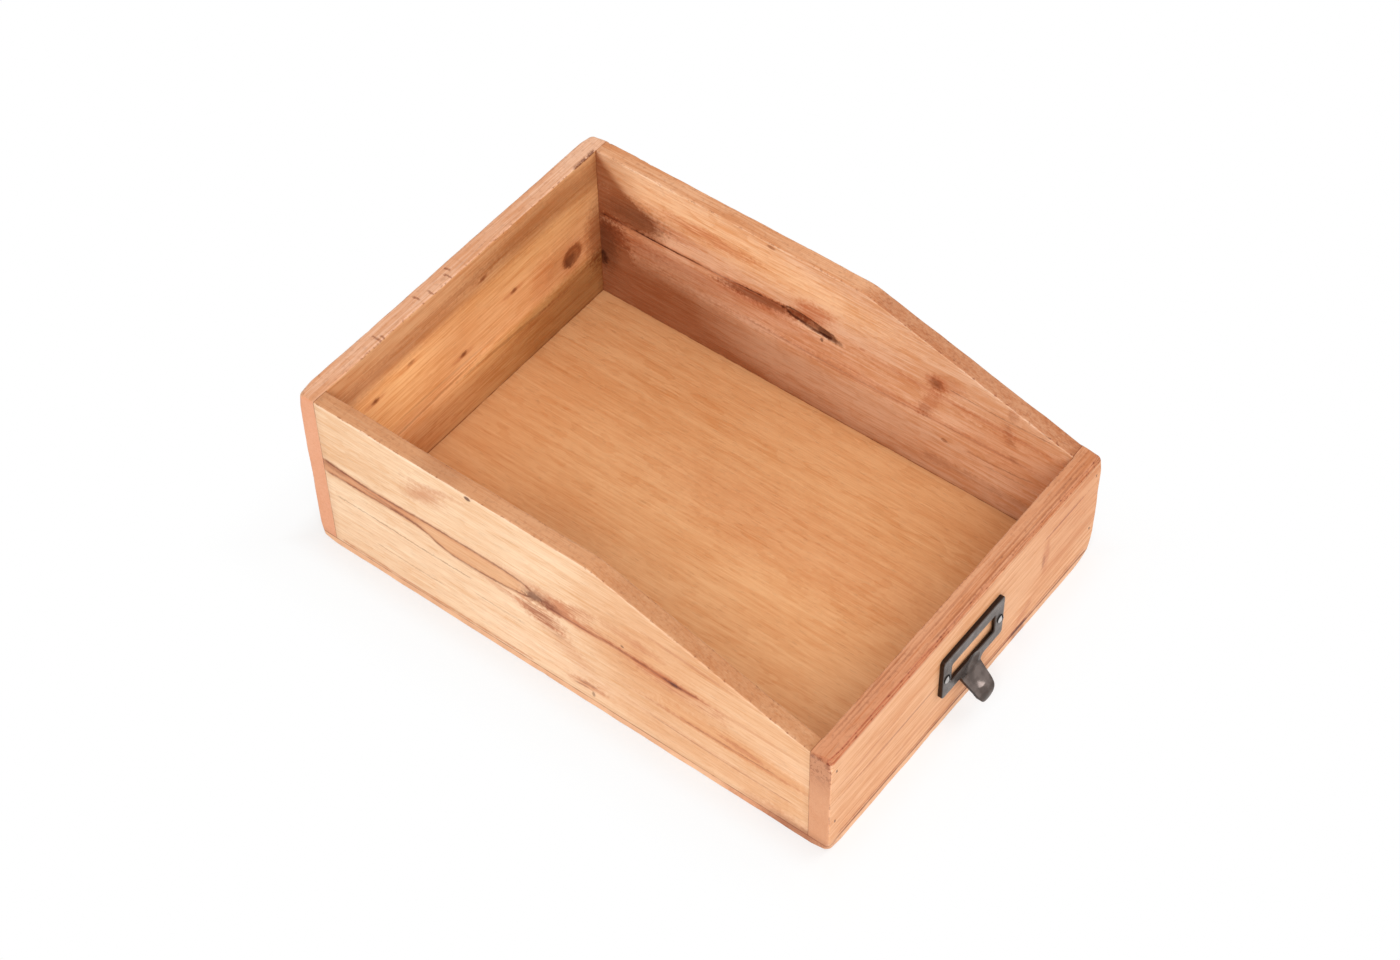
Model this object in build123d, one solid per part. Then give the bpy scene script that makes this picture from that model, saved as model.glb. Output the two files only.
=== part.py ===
from build123d import *
import os
from math import atan2, cos, radians, sin, tan

# Document tray: an open wooden box with a sloping front, nailed together from planks, with a
# cast card-frame pull screwed to its front board. Millimetres. X runs across the tray, Y from
# the front to the back, Z up. The origin is the middle of the underside, which rests on the desk.

# Box
tray_width = 260.0
tray_depth = 366.0
back_height = 126.0
front_height = 85.5
level_top_length = 208.0
top_break_radius = 50.0
slope_foot_radius = 6.0
slope_foot_level = 2.0
back_thickness = 12.0
front_thickness = 13.5
side_thickness = 11.0
base_thickness = 6.0

# Wear: sanded arrises, a lip that hands have rounded, and corners knocked blunt, the front
# right one below most of all
arris_radius = 1.2
front_lip_radius = 3.0
worn_top_corner = 3.5
worn_bottom_corner = 4.5
worn_front_right = 9.5

# Brads, of flat wire with a chisel point
nail_width = 1.3
nail_thickness = 1.1
nail_head_width = 2.2
nail_head_height = 0.6
nail_point_length = 2.0
nail_set_depth = 0.3
wall_nail_length = 32.0
base_nail_length = 20.0
front_nail_heights = (26.0, 73.0)
back_nail_heights = (26.0, 66.0, 106.0)
side_base_nails = 5
end_base_nails = 3
base_nail_inset = 38.0
pilot_clearance = 0.05

# Card-frame pull: a cast plate with a window for a label
plate_width = 59.0
plate_height = 33.0
plate_thickness = 2.8
plate_bottom_height = 31.5
plate_corner_radius = 2.5
window_width = 42.0
window_height = 15.2
window_sill = 8.5
window_corner_radius = 1.0
window_bevel = 0.5
card_recess_depth = 0.8
card_recess_margin = 2.0
cast_edge_radius = 0.6

# Finger tongue below the plate
tongue_thickness = 2.8
tongue_reach = 15.0
tongue_slope = 40.0
tongue_neck_drop = 4.7
tongue_neck_radius = 5.4
tongue_shoulder_radius = 11.0
tongue_tip_length = 0.5
tongue_root_width = 18.0
tongue_tip_width = 14.8
neck_flare_radius = 3.5
scoop_radius = 16.0
scoop_depth = 0.9

# Screws of the pull
screw_spacing = 51.4
screw_height = 47.3
screw_shank_diameter = 2.9
screw_length = 12.0
screw_point_length = 3.0
screw_point_diameter = 0.2
screw_head_diameter = 6.2
screw_head_height = 1.7
screw_slot_width = 1.2
screw_slot_depth = 1.0
screw_slot_tilt = 60.0
screw_hole_clearance = 0.2

# Places that follow from the sizes
half_width = tray_width / 2
back_y = tray_depth / 2
front_y = -tray_depth / 2
inner_back_y = back_y - back_thickness
inner_front_y = front_y + front_thickness
inner_half_width = half_width - side_thickness
break_y = back_y - level_top_length
side_mid_x = half_width - side_thickness / 2
window_mid_height = plate_bottom_height + window_sill + window_height / 2
tolerance = 0.01

# The front board's face: X across, Y up, and Z out of the board
board_face = Plane(origin=(0, front_y, 0), x_dir=(1, 0, 0), z_dir=(0, -1, 0))
# A cut through the middle of the pull: X out of the board, Y up
pull_section = Plane(origin=(0, front_y, 0), x_dir=(0, -1, 0), z_dir=(-1, 0, 0))
# Things that hang down from the height at which they are placed
hanging = (Align.CENTER, Align.CENTER, Align.MAX)


def box_between(low, high):
    """A box from its lowest corner to its highest."""
    size = [b - a for a, b in zip(low, high)]
    middle = [(a + b) / 2 for a, b in zip(low, high)]
    return Pos(*middle) * Box(*size)


# Wooden box, shaped and sanded as one body, then parted into its boards


def side_view():
    """Side view of the box: level behind, then one slope down to the front board's top."""
    slope_end_y = inner_front_y + slope_foot_level
    slope_angle = atan2(back_height - front_height, break_y - slope_end_y)
    slope_foot_y = slope_end_y + slope_foot_radius * tan(slope_angle / 2)
    outline = Polyline(
        (front_y, 0),
        (back_y, 0),
        (back_y, back_height),
        (break_y, back_height),
        (slope_foot_y, front_height),
        (front_y, front_height),
        close=True,
    )
    face = make_face(outline)
    brow = face.vertices().sort_by_distance((break_y, back_height))[0]
    face = fillet(brow, top_break_radius)
    foot = face.vertices().sort_by_distance((slope_foot_y, front_height))[0]
    face = fillet(foot, slope_foot_radius)
    lip = face.vertices().sort_by_distance((front_y, front_height))[0]
    return fillet(lip, front_lip_radius)


def knocked_corner(x_sign, y_sign, z_sign, height, reach):
    """What a knock takes off one corner, the same length along its three edges."""
    start = (x_sign * (half_width - reach), y_sign * back_y, height)
    knock = Plane(origin=start, z_dir=(x_sign, y_sign, z_sign))
    return knock * Box(4 * reach, 4 * reach, 2 * reach, align=(Align.CENTER, Align.CENTER, Align.MIN))


def rim_edges(body):
    """Edges where the hollow opens through the top of the box."""

    def on_rim(edge):
        middle = edge @ 0.5
        on_side = abs(abs(middle.X) - inner_half_width) < tolerance
        on_front = abs(middle.Y - inner_front_y) < tolerance
        on_back = abs(middle.Y - inner_back_y) < tolerance
        high_enough = middle.Z > front_height - tolerance
        upright = abs((edge % 0.5).Z) > 0.9
        return (on_side or on_front or on_back) and high_enough and not upright

    return body.edges().filter_by(on_rim)


def tray_body():
    """The whole wooden box in one piece, with its worn corners, eased edges and hollow."""
    body = extrude(Plane.YZ * side_view(), half_width, both=True)
    body -= knocked_corner(-1, -1, -1, 0, worn_bottom_corner)
    body -= knocked_corner(1, -1, -1, 0, worn_front_right)
    for x_sign in (-1, 1):
        body -= knocked_corner(x_sign, 1, -1, 0, worn_bottom_corner)
        body -= knocked_corner(x_sign, 1, 1, back_height, worn_top_corner)

    body = fillet(body.edges(), arris_radius)

    hollow_low = (-inner_half_width, inner_front_y, base_thickness)
    hollow_high = (inner_half_width, inner_back_y, 2 * back_height)
    body -= box_between(hollow_low, hollow_high)
    return fillet(rim_edges(body), arris_radius)


def part_into_boards(body):
    """The walls stand on the base, and the end boards cover the ends of the sides."""
    foot = base_thickness
    top = back_height
    blanks = {
        "back_board": ((-half_width, inner_back_y, foot), (half_width, back_y, top)),
        "front_board": ((-half_width, front_y, foot), (half_width, inner_front_y, top)),
        "left_side_board": ((-half_width, inner_front_y, foot), (-inner_half_width, inner_back_y, top)),
        "right_side_board": ((inner_half_width, inner_front_y, foot), (half_width, inner_back_y, top)),
        "base_panel": ((-half_width, front_y, 0), (half_width, back_y, foot)),
    }
    return {name: body & box_between(low, high) for name, (low, high) in blanks.items()}


# Brads, drawn upright with the wood's surface at height 0


def nail(length):
    """A brad with its head set a little below the surface and a chisel point."""
    side = nail_width / 2
    cheek = length - nail_point_length
    outline = Polyline((-side, 0), (side, 0), (side, -cheek), (0, -length), (-side, -cheek), close=True)
    wire = extrude(Plane.XZ * make_face(outline), nail_thickness / 2, both=True)
    head = Box(nail_head_width, nail_thickness, nail_head_height, align=hanging)
    return Pos(0, 0, -nail_set_depth) * (wire + head)


def nail_hole(length):
    """The hole that a brad makes, open at the surface."""
    room = 2 * pilot_clearance
    mouth_depth = nail_set_depth + nail_head_height + pilot_clearance
    bore_depth = nail_set_depth + length + pilot_clearance
    mouth = Box(nail_head_width + room, nail_thickness + room, mouth_depth, align=hanging)
    return mouth + Box(nail_width + room, nail_thickness + room, bore_depth, align=hanging)


def spread(run, count):
    """Evenly spaced places along a run, with the run's middle at 0."""
    return [run * (step / (count - 1) - 0.5) for step in range(count)]


def wall_nail_seats(face_y, outward, heights):
    """Seats on an end board, over the ends of the two sides."""
    places = [(x, face_y, z) for x in (-side_mid_x, side_mid_x) for z in heights]
    return [Plane(origin=place, z_dir=(0, outward, 0)) for place in places]


def base_nail_seats():
    """Seats on the underside, below the middle of each wall."""
    side_ys = spread(tray_depth - 2 * base_nail_inset, side_base_nails)
    end_xs = spread(tray_width - 2 * base_nail_inset, end_base_nails)
    end_ys = (front_y + front_thickness / 2, back_y - back_thickness / 2)
    places = [(x, y, 0) for x in (-side_mid_x, side_mid_x) for y in side_ys]
    places += [(x, y, 0) for y in end_ys for x in end_xs]
    return [Plane(origin=place, z_dir=(0, 0, -1)) for place in places]


# Card-frame pull


def tongue_path():
    """Middle line of the tongue's section: down from the plate, out at a slope, and down again."""
    half = tongue_thickness / 2
    neck_height = plate_bottom_height - tongue_neck_drop
    shoulder_height = neck_height - (tongue_reach - tongue_thickness) * tan(radians(tongue_slope))
    bend = radians(90 - tongue_slope)
    tip_height = shoulder_height - tongue_shoulder_radius * tan(bend / 2) - tongue_tip_length
    return FilletPolyline(
        (half, plate_bottom_height + window_sill / 2),
        (half, neck_height),
        (tongue_reach - half, shoulder_height),
        (tongue_reach - half, tip_height),
        radius=[tongue_neck_radius, tongue_shoulder_radius],
    )


def tongue_outline(tip_height):
    """Front view of the tongue: flared where it leaves the plate, then drawn in to a round tip."""
    shoulder = tongue_root_width / 2 + neck_flare_radius
    root_height = plate_bottom_height + window_sill / 2
    tip_radius = tongue_tip_width / 2
    tip_center = (0, tip_height + tip_radius)
    top = Line((0, root_height), (shoulder, root_height))
    side = Line(top @ 1, (shoulder, plate_bottom_height))
    flare = JernArc(start=side @ 1, tangent=(-1, 0), radius=neck_flare_radius, arc_size=90)
    flank = Line(flare @ 1, (tip_radius, tip_height + tip_radius))
    tip = CenterArc(tip_center, tip_radius, -90, 90)
    right_half = Curve() + [top, side, flare, flank, tip]
    return make_face(right_half + mirror(right_half, about=Plane.YZ))


def tongue():
    """A bent strip, cut to its outline in front view."""
    path = tongue_path()
    width = tongue_root_width + 2 * neck_flare_radius
    strip = extrude(pull_section * trace(path, tongue_thickness), width / 2, both=True)
    outline = extrude(board_face * tongue_outline((path @ 1).Y), tongue_reach)
    return strip & outline


def scoop():
    """Ball that leaves the shallow finger dish on the tongue's sloping face."""
    path = tongue_path()
    slope_line = path.edges().filter_by(GeomType.LINE).sort_by(Axis.X)[1]
    slope_middle = slope_line @ 0.5
    distance = tongue_thickness / 2 + scoop_radius - scoop_depth
    out = slope_middle.X + distance * sin(radians(tongue_slope))
    up = slope_middle.Y + distance * cos(radians(tongue_slope))
    return Pos(0, front_y - out, up) * Sphere(scoop_radius)


def window_rim(body):
    """Edges where the window opens through the plate's front."""

    def on_rim(edge):
        middle = edge @ 0.5
        on_front = abs(middle.Y - front_y + plate_thickness) < tolerance
        within_width = abs(middle.X) < window_width / 2 + tolerance
        within_height = abs(middle.Z - window_mid_height) < window_height / 2 + tolerance
        return on_front and within_width and within_height

    return body.edges().filter_by(on_rim)


def pull():
    """Plate with its window, card recess and screw holes, and the tongue below."""
    plate_middle = Pos(0, plate_bottom_height + plate_height / 2)
    plate_sketch = board_face * plate_middle * RectangleRounded(plate_width, plate_height, plate_corner_radius)
    body = extrude(plate_sketch, plate_thickness) + tongue()
    front_edges = body.edges().filter_by(lambda edge: abs((edge @ 0.5).Y - front_y + plate_thickness) < tolerance)
    body = fillet(front_edges, cast_edge_radius)
    body -= scoop()

    window_middle = Pos(0, window_mid_height)
    window = RectangleRounded(window_width, window_height, window_corner_radius)
    body -= extrude(board_face * window_middle * window, plate_thickness)
    body = chamfer(window_rim(body), window_bevel)

    card_width = window_width + 2 * card_recess_margin
    card_height = window_height + 2 * card_recess_margin
    body -= extrude(board_face * window_middle * Rectangle(card_width, card_height), card_recess_depth)
    for seat in screw_seats():
        hole_radius = screw_shank_diameter / 2 + screw_hole_clearance
        body -= seat * Cylinder(hole_radius, plate_thickness, align=hanging)
    return body


# Slotted screws, drawn upright with the plate's surface at height 0


def screw_seats():
    """Where the two screws sit on the plate's front."""
    return [board_face * Pos(x, screw_height, plate_thickness) for x in (-screw_spacing / 2, screw_spacing / 2)]


def screw():
    """A round-head wood screw with one slot."""
    head_radius = screw_head_diameter / 2
    dome_radius = (head_radius**2 + screw_head_height**2) / (2 * screw_head_height)
    dome = Pos(0, 0, screw_head_height - dome_radius) * Sphere(dome_radius)
    head = dome & Cylinder(head_radius, screw_head_height, align=(Align.CENTER, Align.CENTER, Align.MIN))
    slot = Box(screw_head_diameter, screw_slot_width, screw_slot_depth, align=hanging)
    head -= Pos(0, 0, screw_head_height) * Rot(0, 0, screw_slot_tilt) * slot
    shank_length = screw_length - screw_point_length
    shank = Cylinder(screw_shank_diameter / 2, shank_length, align=hanging)
    point = Cone(screw_point_diameter / 2, screw_shank_diameter / 2, screw_point_length, align=hanging)
    return head + shank + Pos(0, 0, -shank_length) * point


def screw_hole():
    """The pilot hole that a screw needs below the plate's surface."""
    return Cylinder(screw_shank_diameter / 2 + pilot_clearance, screw_length + pilot_clearance, align=hanging)


# All the pieces, by name


def tray_pieces():
    """Every piece of the tray, as a list of solids under its name."""
    boards = part_into_boards(tray_body())
    front_seats = wall_nail_seats(front_y, -1, front_nail_heights)
    back_seats = wall_nail_seats(back_y, 1, back_nail_heights)
    base_seats = base_nail_seats()

    front_holes = [seat * nail_hole(wall_nail_length) for seat in front_seats]
    front_holes += [seat * screw_hole() for seat in screw_seats()]
    back_holes = [seat * nail_hole(wall_nail_length) for seat in back_seats]
    base_holes = [seat * nail_hole(base_nail_length) for seat in base_seats]
    holes = {
        "back_board": back_holes + base_holes,
        "front_board": front_holes + base_holes,
        "left_side_board": front_holes + back_holes + base_holes,
        "right_side_board": front_holes + back_holes + base_holes,
        "base_panel": base_holes,
    }
    pieces = {name: [board - holes[name]] for name, board in boards.items()}
    pieces["card_frame_pull"] = [pull()]
    pieces["pull_screws"] = [seat * screw() for seat in screw_seats()]
    pieces["front_nails"] = [seat * nail(wall_nail_length) for seat in front_seats]
    pieces["back_nails"] = [seat * nail(wall_nail_length) for seat in back_seats]
    pieces["base_nails"] = [seat * nail(base_nail_length) for seat in base_seats]
    return pieces


os.makedirs("parts", exist_ok=True)
for name, piece in tray_pieces().items():
    solids = [solid for shape in piece for solid in shape.solids()]
    export_step(Compound(children=solids, label=name), f"parts/{name}.step")
    print(name, len(solids), "solids,", round(sum(solid.volume for solid in solids), 1), "mm3")
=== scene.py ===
# %% [markdown]
# # Document tray
# An open wooden box for papers, with a sloping front and a cast card-frame pull.
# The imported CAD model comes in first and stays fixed. Every Blender piece is made in its frame:
# metres, X across the tray, Y from the front to the back, Z up from the desk.

# %% The fixed frame
import math

import bpy
from mathutils import Matrix, Vector


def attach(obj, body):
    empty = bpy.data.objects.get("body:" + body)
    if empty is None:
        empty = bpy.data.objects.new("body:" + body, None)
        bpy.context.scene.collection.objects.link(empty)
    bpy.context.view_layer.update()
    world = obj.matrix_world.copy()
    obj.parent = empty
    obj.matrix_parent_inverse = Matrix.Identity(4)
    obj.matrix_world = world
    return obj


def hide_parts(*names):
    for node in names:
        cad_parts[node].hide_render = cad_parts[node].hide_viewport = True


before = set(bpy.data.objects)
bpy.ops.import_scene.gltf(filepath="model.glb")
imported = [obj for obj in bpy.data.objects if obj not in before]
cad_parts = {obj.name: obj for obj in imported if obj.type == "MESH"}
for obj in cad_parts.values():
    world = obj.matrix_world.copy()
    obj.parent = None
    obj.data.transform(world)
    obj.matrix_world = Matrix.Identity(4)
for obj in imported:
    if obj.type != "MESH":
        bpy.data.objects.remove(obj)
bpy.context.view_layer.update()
millimetre = 0.001

# Sizes of the tray in mm, as in the CAD
half_width, half_depth, back_height, front_height = 130.0, 183.0, 126.0, 85.5
inner_side, inner_front, inner_back, base_top = 119.0, -169.5, 171.0, 6.0

# %% [markdown]
# ## Camera
# A product photograph keeps its verticals nearly upright and hardly narrows towards the back, so
# the lens is long and the camera stands well away. A camera could be aimed with a Track To
# constraint. Here its axes are worked out from three angles, because that also gives the slight
# roll of a camera held by hand.

# %% Camera
azimuth = math.radians(-51.549)
elevation = math.radians(50.266)
roll = math.radians(-1.219)
distance = 1.7114
aim = Vector((0.0360, 0.0311, 0.0))

backward = Vector((
    math.sin(azimuth) * math.cos(elevation),
    -math.cos(azimuth) * math.cos(elevation),
    math.sin(elevation),
))
level_right = (-backward).cross(Vector((0, 0, 1))).normalized()
level_up = level_right.cross(-backward)
right = level_right * math.cos(roll) + level_up * math.sin(roll)
up = level_up * math.cos(roll) - level_right * math.sin(roll)

lens = bpy.data.cameras.new("camera")
lens.lens = 73.98
lens.sensor_width = 36.0
lens.clip_start = 0.05
camera = bpy.data.objects.new("camera", lens)
camera.matrix_world = Matrix((right, up, backward)).transposed().to_4x4()
camera.matrix_world.translation = aim + backward * distance
bpy.context.scene.collection.objects.link(camera)
bpy.context.scene.camera = camera
print("camera at", [round(value, 3) for value in camera.matrix_world.translation])

# %% [markdown]
# ## A way to write node trees down
# A material is a recipe: each node takes a few values and hands one on. Written straight in bpy,
# every step needs three or four lines. Two small classes keep a recipe readable: a Value is what
# a node hands on and can be added or multiplied like a number, and a Recipe makes the nodes.

# %% Values and recipes


def reckon(operation, swapped=False):
    """An operator of Value: it makes a Math node for its two sides."""

    def step(self, other):
        sides = (other, self) if swapped else (self, other)
        return self.recipe.math(operation, *sides)

    return step


class Value:
    """What a node hands on. Either side of an operator may also be a plain number."""

    __add__, __radd__ = reckon("ADD"), reckon("ADD", swapped=True)
    __sub__, __rsub__ = reckon("SUBTRACT"), reckon("SUBTRACT", swapped=True)
    __mul__, __rmul__ = reckon("MULTIPLY"), reckon("MULTIPLY", swapped=True)
    __truediv__, __rtruediv__ = reckon("DIVIDE"), reckon("DIVIDE", swapped=True)

    def __init__(self, recipe, socket):
        self.recipe, self.socket = recipe, socket

    def __abs__(self):
        return self.recipe.math("ABSOLUTE", self)

    def root(self):
        return self.recipe.math("SQRT", self)

    def ramp(self, start, end, low=0.0, high=1.0, way="LINEAR"):
        """low up to start, high from end on, and a slope between the two."""
        ends = {"Value": self, "From Min": start, "From Max": end, "To Min": low, "To Max": high}
        return self.recipe.out("ShaderNodeMapRange", ends, interpolation_type=way)

    def ease(self, start, end):
        """0 at start, 1 at end, and a soft change between the two."""
        return self.ramp(start, end, way="SMOOTHSTEP")


def total(first, *others):
    return sum(others, first)


class Recipe:
    """Builds one node tree, a step at a time."""

    def __init__(self, tree):
        self.tree = tree

    def feed(self, socket, value):
        if isinstance(value, Value):
            self.tree.links.new(value.socket, socket)
        else:
            socket.default_value = value

    def node(self, kind, inputs=None, **settings):
        made = self.tree.nodes.new(kind)
        for name, value in settings.items():
            setattr(made, name, value)
        for key, value in (inputs or {}).items():
            self.feed(made.inputs[key], value)
        return made

    def out(self, kind, inputs=None, key=0, **settings):
        """Makes a node and hands on one of its outputs."""
        return Value(self, self.node(kind, inputs, **settings).outputs[key])

    def outs(self, kind, inputs=None, **settings):
        """Makes a node and hands on all its named outputs."""
        made = self.node(kind, inputs, **settings)
        return {socket.name: Value(self, socket) for socket in made.outputs if socket.name}

    def math(self, operation, *values, clamp=False):
        values = dict(enumerate(values))
        return self.out("ShaderNodeMath", values, operation=operation, use_clamp=clamp)

    def vector(self, operation, *values, key=0):
        return self.out("ShaderNodeVectorMath", dict(enumerate(values)), key, operation=operation)

    def strongest(self, first, *others):
        for other in others:
            first = self.math("MAXIMUM", first, other)
        return first

    def noise(self, place, scale=1.0, detail=2.0, roughness=0.5):
        kinds = {"Vector": place, "Scale": scale, "Detail": detail, "Roughness": roughness}
        return self.out("ShaderNodeTexNoise", kinds, "Fac")

    def mix(self, share, first, second, blend="MIX"):
        made = self.node("ShaderNodeMix", data_type="RGBA", blend_type=blend, clamp_factor=True)
        for index, value in ((0, share), (6, first), (7, second)):
            self.feed(made.inputs[index], value)
        return Value(self, made.outputs[2])

    def split(self, value):
        return self.outs("ShaderNodeSeparateXYZ", {0: value})

    def join(self, x, y, z):
        return self.out("ShaderNodeCombineXYZ", {0: x, 1: y, 2: z})

    def curve(self, share, knots, margin, handles=None):
        """The height of a Float Curve through knots of (share, height), at a share from 0 to 1."""
        low = min(height for _, height in knots) - margin
        high = max(height for _, height in knots) + margin
        drawn = self.node("ShaderNodeFloatCurve", {"Factor": 1.0, "Value": share})
        line = drawn.mapping.curves[0]
        for _ in knots[2:]:
            line.points.new(0.5, 0.5)
        for point, (place, height) in zip(line.points, knots):
            if handles:
                point.handle_type = handles
            point.location = (place, (height - low) / (high - low))
        drawn.mapping.update()
        return Value(self, drawn.outputs[0]) * (high - low) + low

    def surface(self, shade, roughness, height, strength, depth, **traits):
        """Ends a material: a surface with a colour, a roughness and a relief so many mm deep."""
        relief = {"Strength": strength, "Distance": depth * millimetre, "Height": height}
        bump = self.out("ShaderNodeBump", relief)
        look = {"Base Color": shade, "Roughness": roughness, "Normal": bump, **traits}
        self.node("ShaderNodeOutputMaterial", {0: self.out("ShaderNodeBsdfPrincipled", look)})


def blank_material(name):
    material = bpy.data.materials.new(name)
    material.use_nodes = True
    material.node_tree.nodes.clear()
    return material


def colour(red, green, blue):
    """A colour picked on screen, 0 to 255, as the linear values that Blender's light needs."""

    def to_linear(part):
        share = part / 255
        return share / 12.92 if share <= 0.04045 else ((share + 0.055) / 1.055) ** 2.4

    return (to_linear(red), to_linear(green), to_linear(blue), 1.0)


# %% [markdown]
# ## Floor and light
# The tray stands on a plain white sweep. A white floor could be lit until it burns out, but that
# light would bleach the wood too. Here the floor shows pure white to the camera, and keeps
# a share of its real shading so that the soft shadow stays. The light is a broad soft key from the
# front left, a weak fill from the right and an even sky.

# %% Floor
half_floor = 6.0
white_share, white_near, white_far = 0.58, 0.9, 0.1
near_end, far_start, far_end = 0.022, 0.015, 0.06
bounced_paint, seen_paint = (0.88, 0.87, 0.86, 1), (0.80, 0.80, 0.80, 1)
white = (1, 1, 1, 1)

floor_mesh = bpy.data.meshes.new("floor")
floor_corners = [(-half_floor, -half_floor, 0), (half_floor, -half_floor, 0)]
floor_corners += [(half_floor, half_floor, 0), (-half_floor, half_floor, 0)]
floor_mesh.from_pydata(floor_corners, [], [(0, 1, 2, 3)])
floor = bpy.data.objects.new("floor", floor_mesh)
bpy.context.scene.collection.objects.link(floor)


def seen_by_camera(recipe):
    """1 on the rays that look straight at a thing or through a mirror or glass, else 0."""
    paths, kinds = recipe.outs("ShaderNodeLightPath"), ("Camera", "Glossy", "Transmission")
    return recipe.strongest(*[paths[f"Is {kind} Ray"] for kind in kinds])


floor_material = blank_material("white_sweep")
sweep = Recipe(floor_material.node_tree)
seen = seen_by_camera(sweep)
paint = sweep.mix(seen, bounced_paint, seen_paint)
matt = sweep.out("ShaderNodeBsdfDiffuse", {"Color": paint})
glow = sweep.out("ShaderNodeEmission", {"Color": white, "Strength": 1.0})
off_tray = sweep.split(sweep.vector("ABSOLUTE", sweep.outs("ShaderNodeTexCoord")["Object"]))
off_tray = sweep.strongest(
    off_tray["X"] - half_width * millimetre, off_tray["Y"] - half_depth * millimetre
)
near_share = off_tray.ease(0.0, near_end) * (white_near - white_share)
far_share = off_tray.ease(far_start, far_end) * white_far
share = seen * (white_share + near_share + far_share)
blended = sweep.out("ShaderNodeMixShader", {0: share, 1: matt, 2: glow})
sweep.node("ShaderNodeOutputMaterial", {0: blended})
floor_mesh.materials.append(floor_material)

# %% Light
sky_strength = 0.67

world = bpy.data.worlds.new("studio")
world.use_nodes = True
world.node_tree.nodes.clear()
studio = Recipe(world.node_tree)
sky = studio.out("ShaderNodeBackground", {0: (1.0, 0.985, 0.97, 1), 1: sky_strength})
backdrop = studio.out("ShaderNodeBackground", {0: white, 1: 1.0})
blended = studio.out("ShaderNodeMixShader", {0: seen_by_camera(studio), 1: sky, 2: backdrop})
studio.node("ShaderNodeOutputWorld", {0: blended})
bpy.context.scene.world = world


def soft_lamp(name, place, watts, tint, target=(0, 0, 0.05), size=1.3):
    """A square area lamp at a place, facing the middle of the tray."""
    lamp = bpy.data.lights.new(name, "AREA")
    lamp.size = size
    lamp.energy = watts
    lamp.color = tint
    holder = bpy.data.objects.new(name, lamp)
    facing = (Vector(target) - Vector(place)).to_track_quat("-Z", "Y")
    holder.matrix_world = Matrix.Translation(place) @ facing.to_matrix().to_4x4()
    bpy.context.scene.collection.objects.link(holder)


soft_lamp("key", (-1.35, -1.05, 1.55), 32.5, (1.0, 0.985, 0.97))
soft_lamp("fill", (1.4, -0.9, 1.6), 13.0, (0.97, 0.985, 1.0))
bpy.context.scene.view_settings.view_transform = "Standard"
print("sky", sky_strength, "and two soft lamps")

# %% [markdown]
# ## Wood
# The tray is nailed up from planks of a pale, warm softwood. A picture of wood could be wrapped
# round each plank, but then the lines would not run on from a face to the end grain. These
# materials are solid instead: they measure how far a point lies from the middle of the tree, and
# that distance draws the year rings on every face at once. Slow noise makes the rings wander,
# and finer noise, stretched along the grain, gives streaks, fibres and short pores.

# %% Grain that all the planks share


def plank_grain():
    """Node group: the figure of one plank, from a place in mm with X along its grain."""
    tree = bpy.data.node_groups.new("plank_grain", "ShaderNodeTree")
    inputs = {
        "Place": "Vector", "Offset": "Vector",
        "Pith Depth": "Float", "Pith Across": "Float", "Ring Width": "Float",
    }
    for name, kind in inputs.items():
        tree.interface.new_socket(name, in_out="INPUT", socket_type="NodeSocket" + kind)
    for name in ("Rings", "Streaks", "Lines", "Fibre", "Blotch", "Pores"):
        tree.interface.new_socket(name, in_out="OUTPUT", socket_type="NodeSocketFloat")

    grain = Recipe(tree)
    given = grain.outs("NodeGroupInput")
    place = grain.vector("ADD", given["Place"], given["Offset"])

    def stretched(along, across, detail=2.0, roughness=0.5):
        """Noise drawn out along the grain."""
        cells = grain.vector("MULTIPLY", place, (along, across, across))
        return grain.noise(cells, detail=detail, roughness=roughness)

    slow_place = grain.vector("MULTIPLY", place, (0.009, 0.030, 0.030))
    slow = grain.out("ShaderNodeTexNoise", {"Vector": slow_place, "Detail": 2.5}, "Color")
    wander = grain.vector("MULTIPLY_ADD", slow, (0, 26, 34), (0, -13, -17))
    from_pith = grain.split(grain.vector("ADD", given["Place"], wander))
    depth = from_pith["Y"] - given["Pith Depth"]
    across = from_pith["Z"] - given["Pith Across"]
    turns = (depth * depth + across * across).root() / given["Ring Width"]
    phase, year = grain.math("FRACT", turns), grain.math("FLOOR", turns)
    strength = grain.out("ShaderNodeTexWhiteNoise", {"W": year}, "Value", noise_dimensions="1D")
    late_wood = phase.ease(0.25, 0.88) * phase.ease(1.0, 0.90)
    grain.node("NodeGroupOutput", {
        "Rings": late_wood * (strength * 0.8 + 0.2),
        "Streaks": stretched(0.006, 0.13, detail=3.0),
        "Lines": stretched(0.020, 0.52, detail=3.0, roughness=0.65),
        "Fibre": stretched(0.045, 1.5),
        "Blotch": stretched(0.014, 0.030),
        "Pores": stretched(0.13, 2.2, detail=1.0).ease(0.64, 0.73),
    })
    return tree


grain_tree = plank_grain()
print("plank_grain has", len(grain_tree.nodes), "nodes")

# %% [markdown]
# ## Marks in the wood
# Knots, dark streaks and stains, and patches of painted shade and light, sit at known places on
# each plank. They could be painted on an image, but a drawn mask stays sharp from any distance.
# A spot is an ellipse with a frayed rim. A stroke follows a Float Curve node: the curve says how
# high the line runs above each place along the plank, and the mask is strong where a point is
# close to that height.

# %% Spots, strokes and knots


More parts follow.
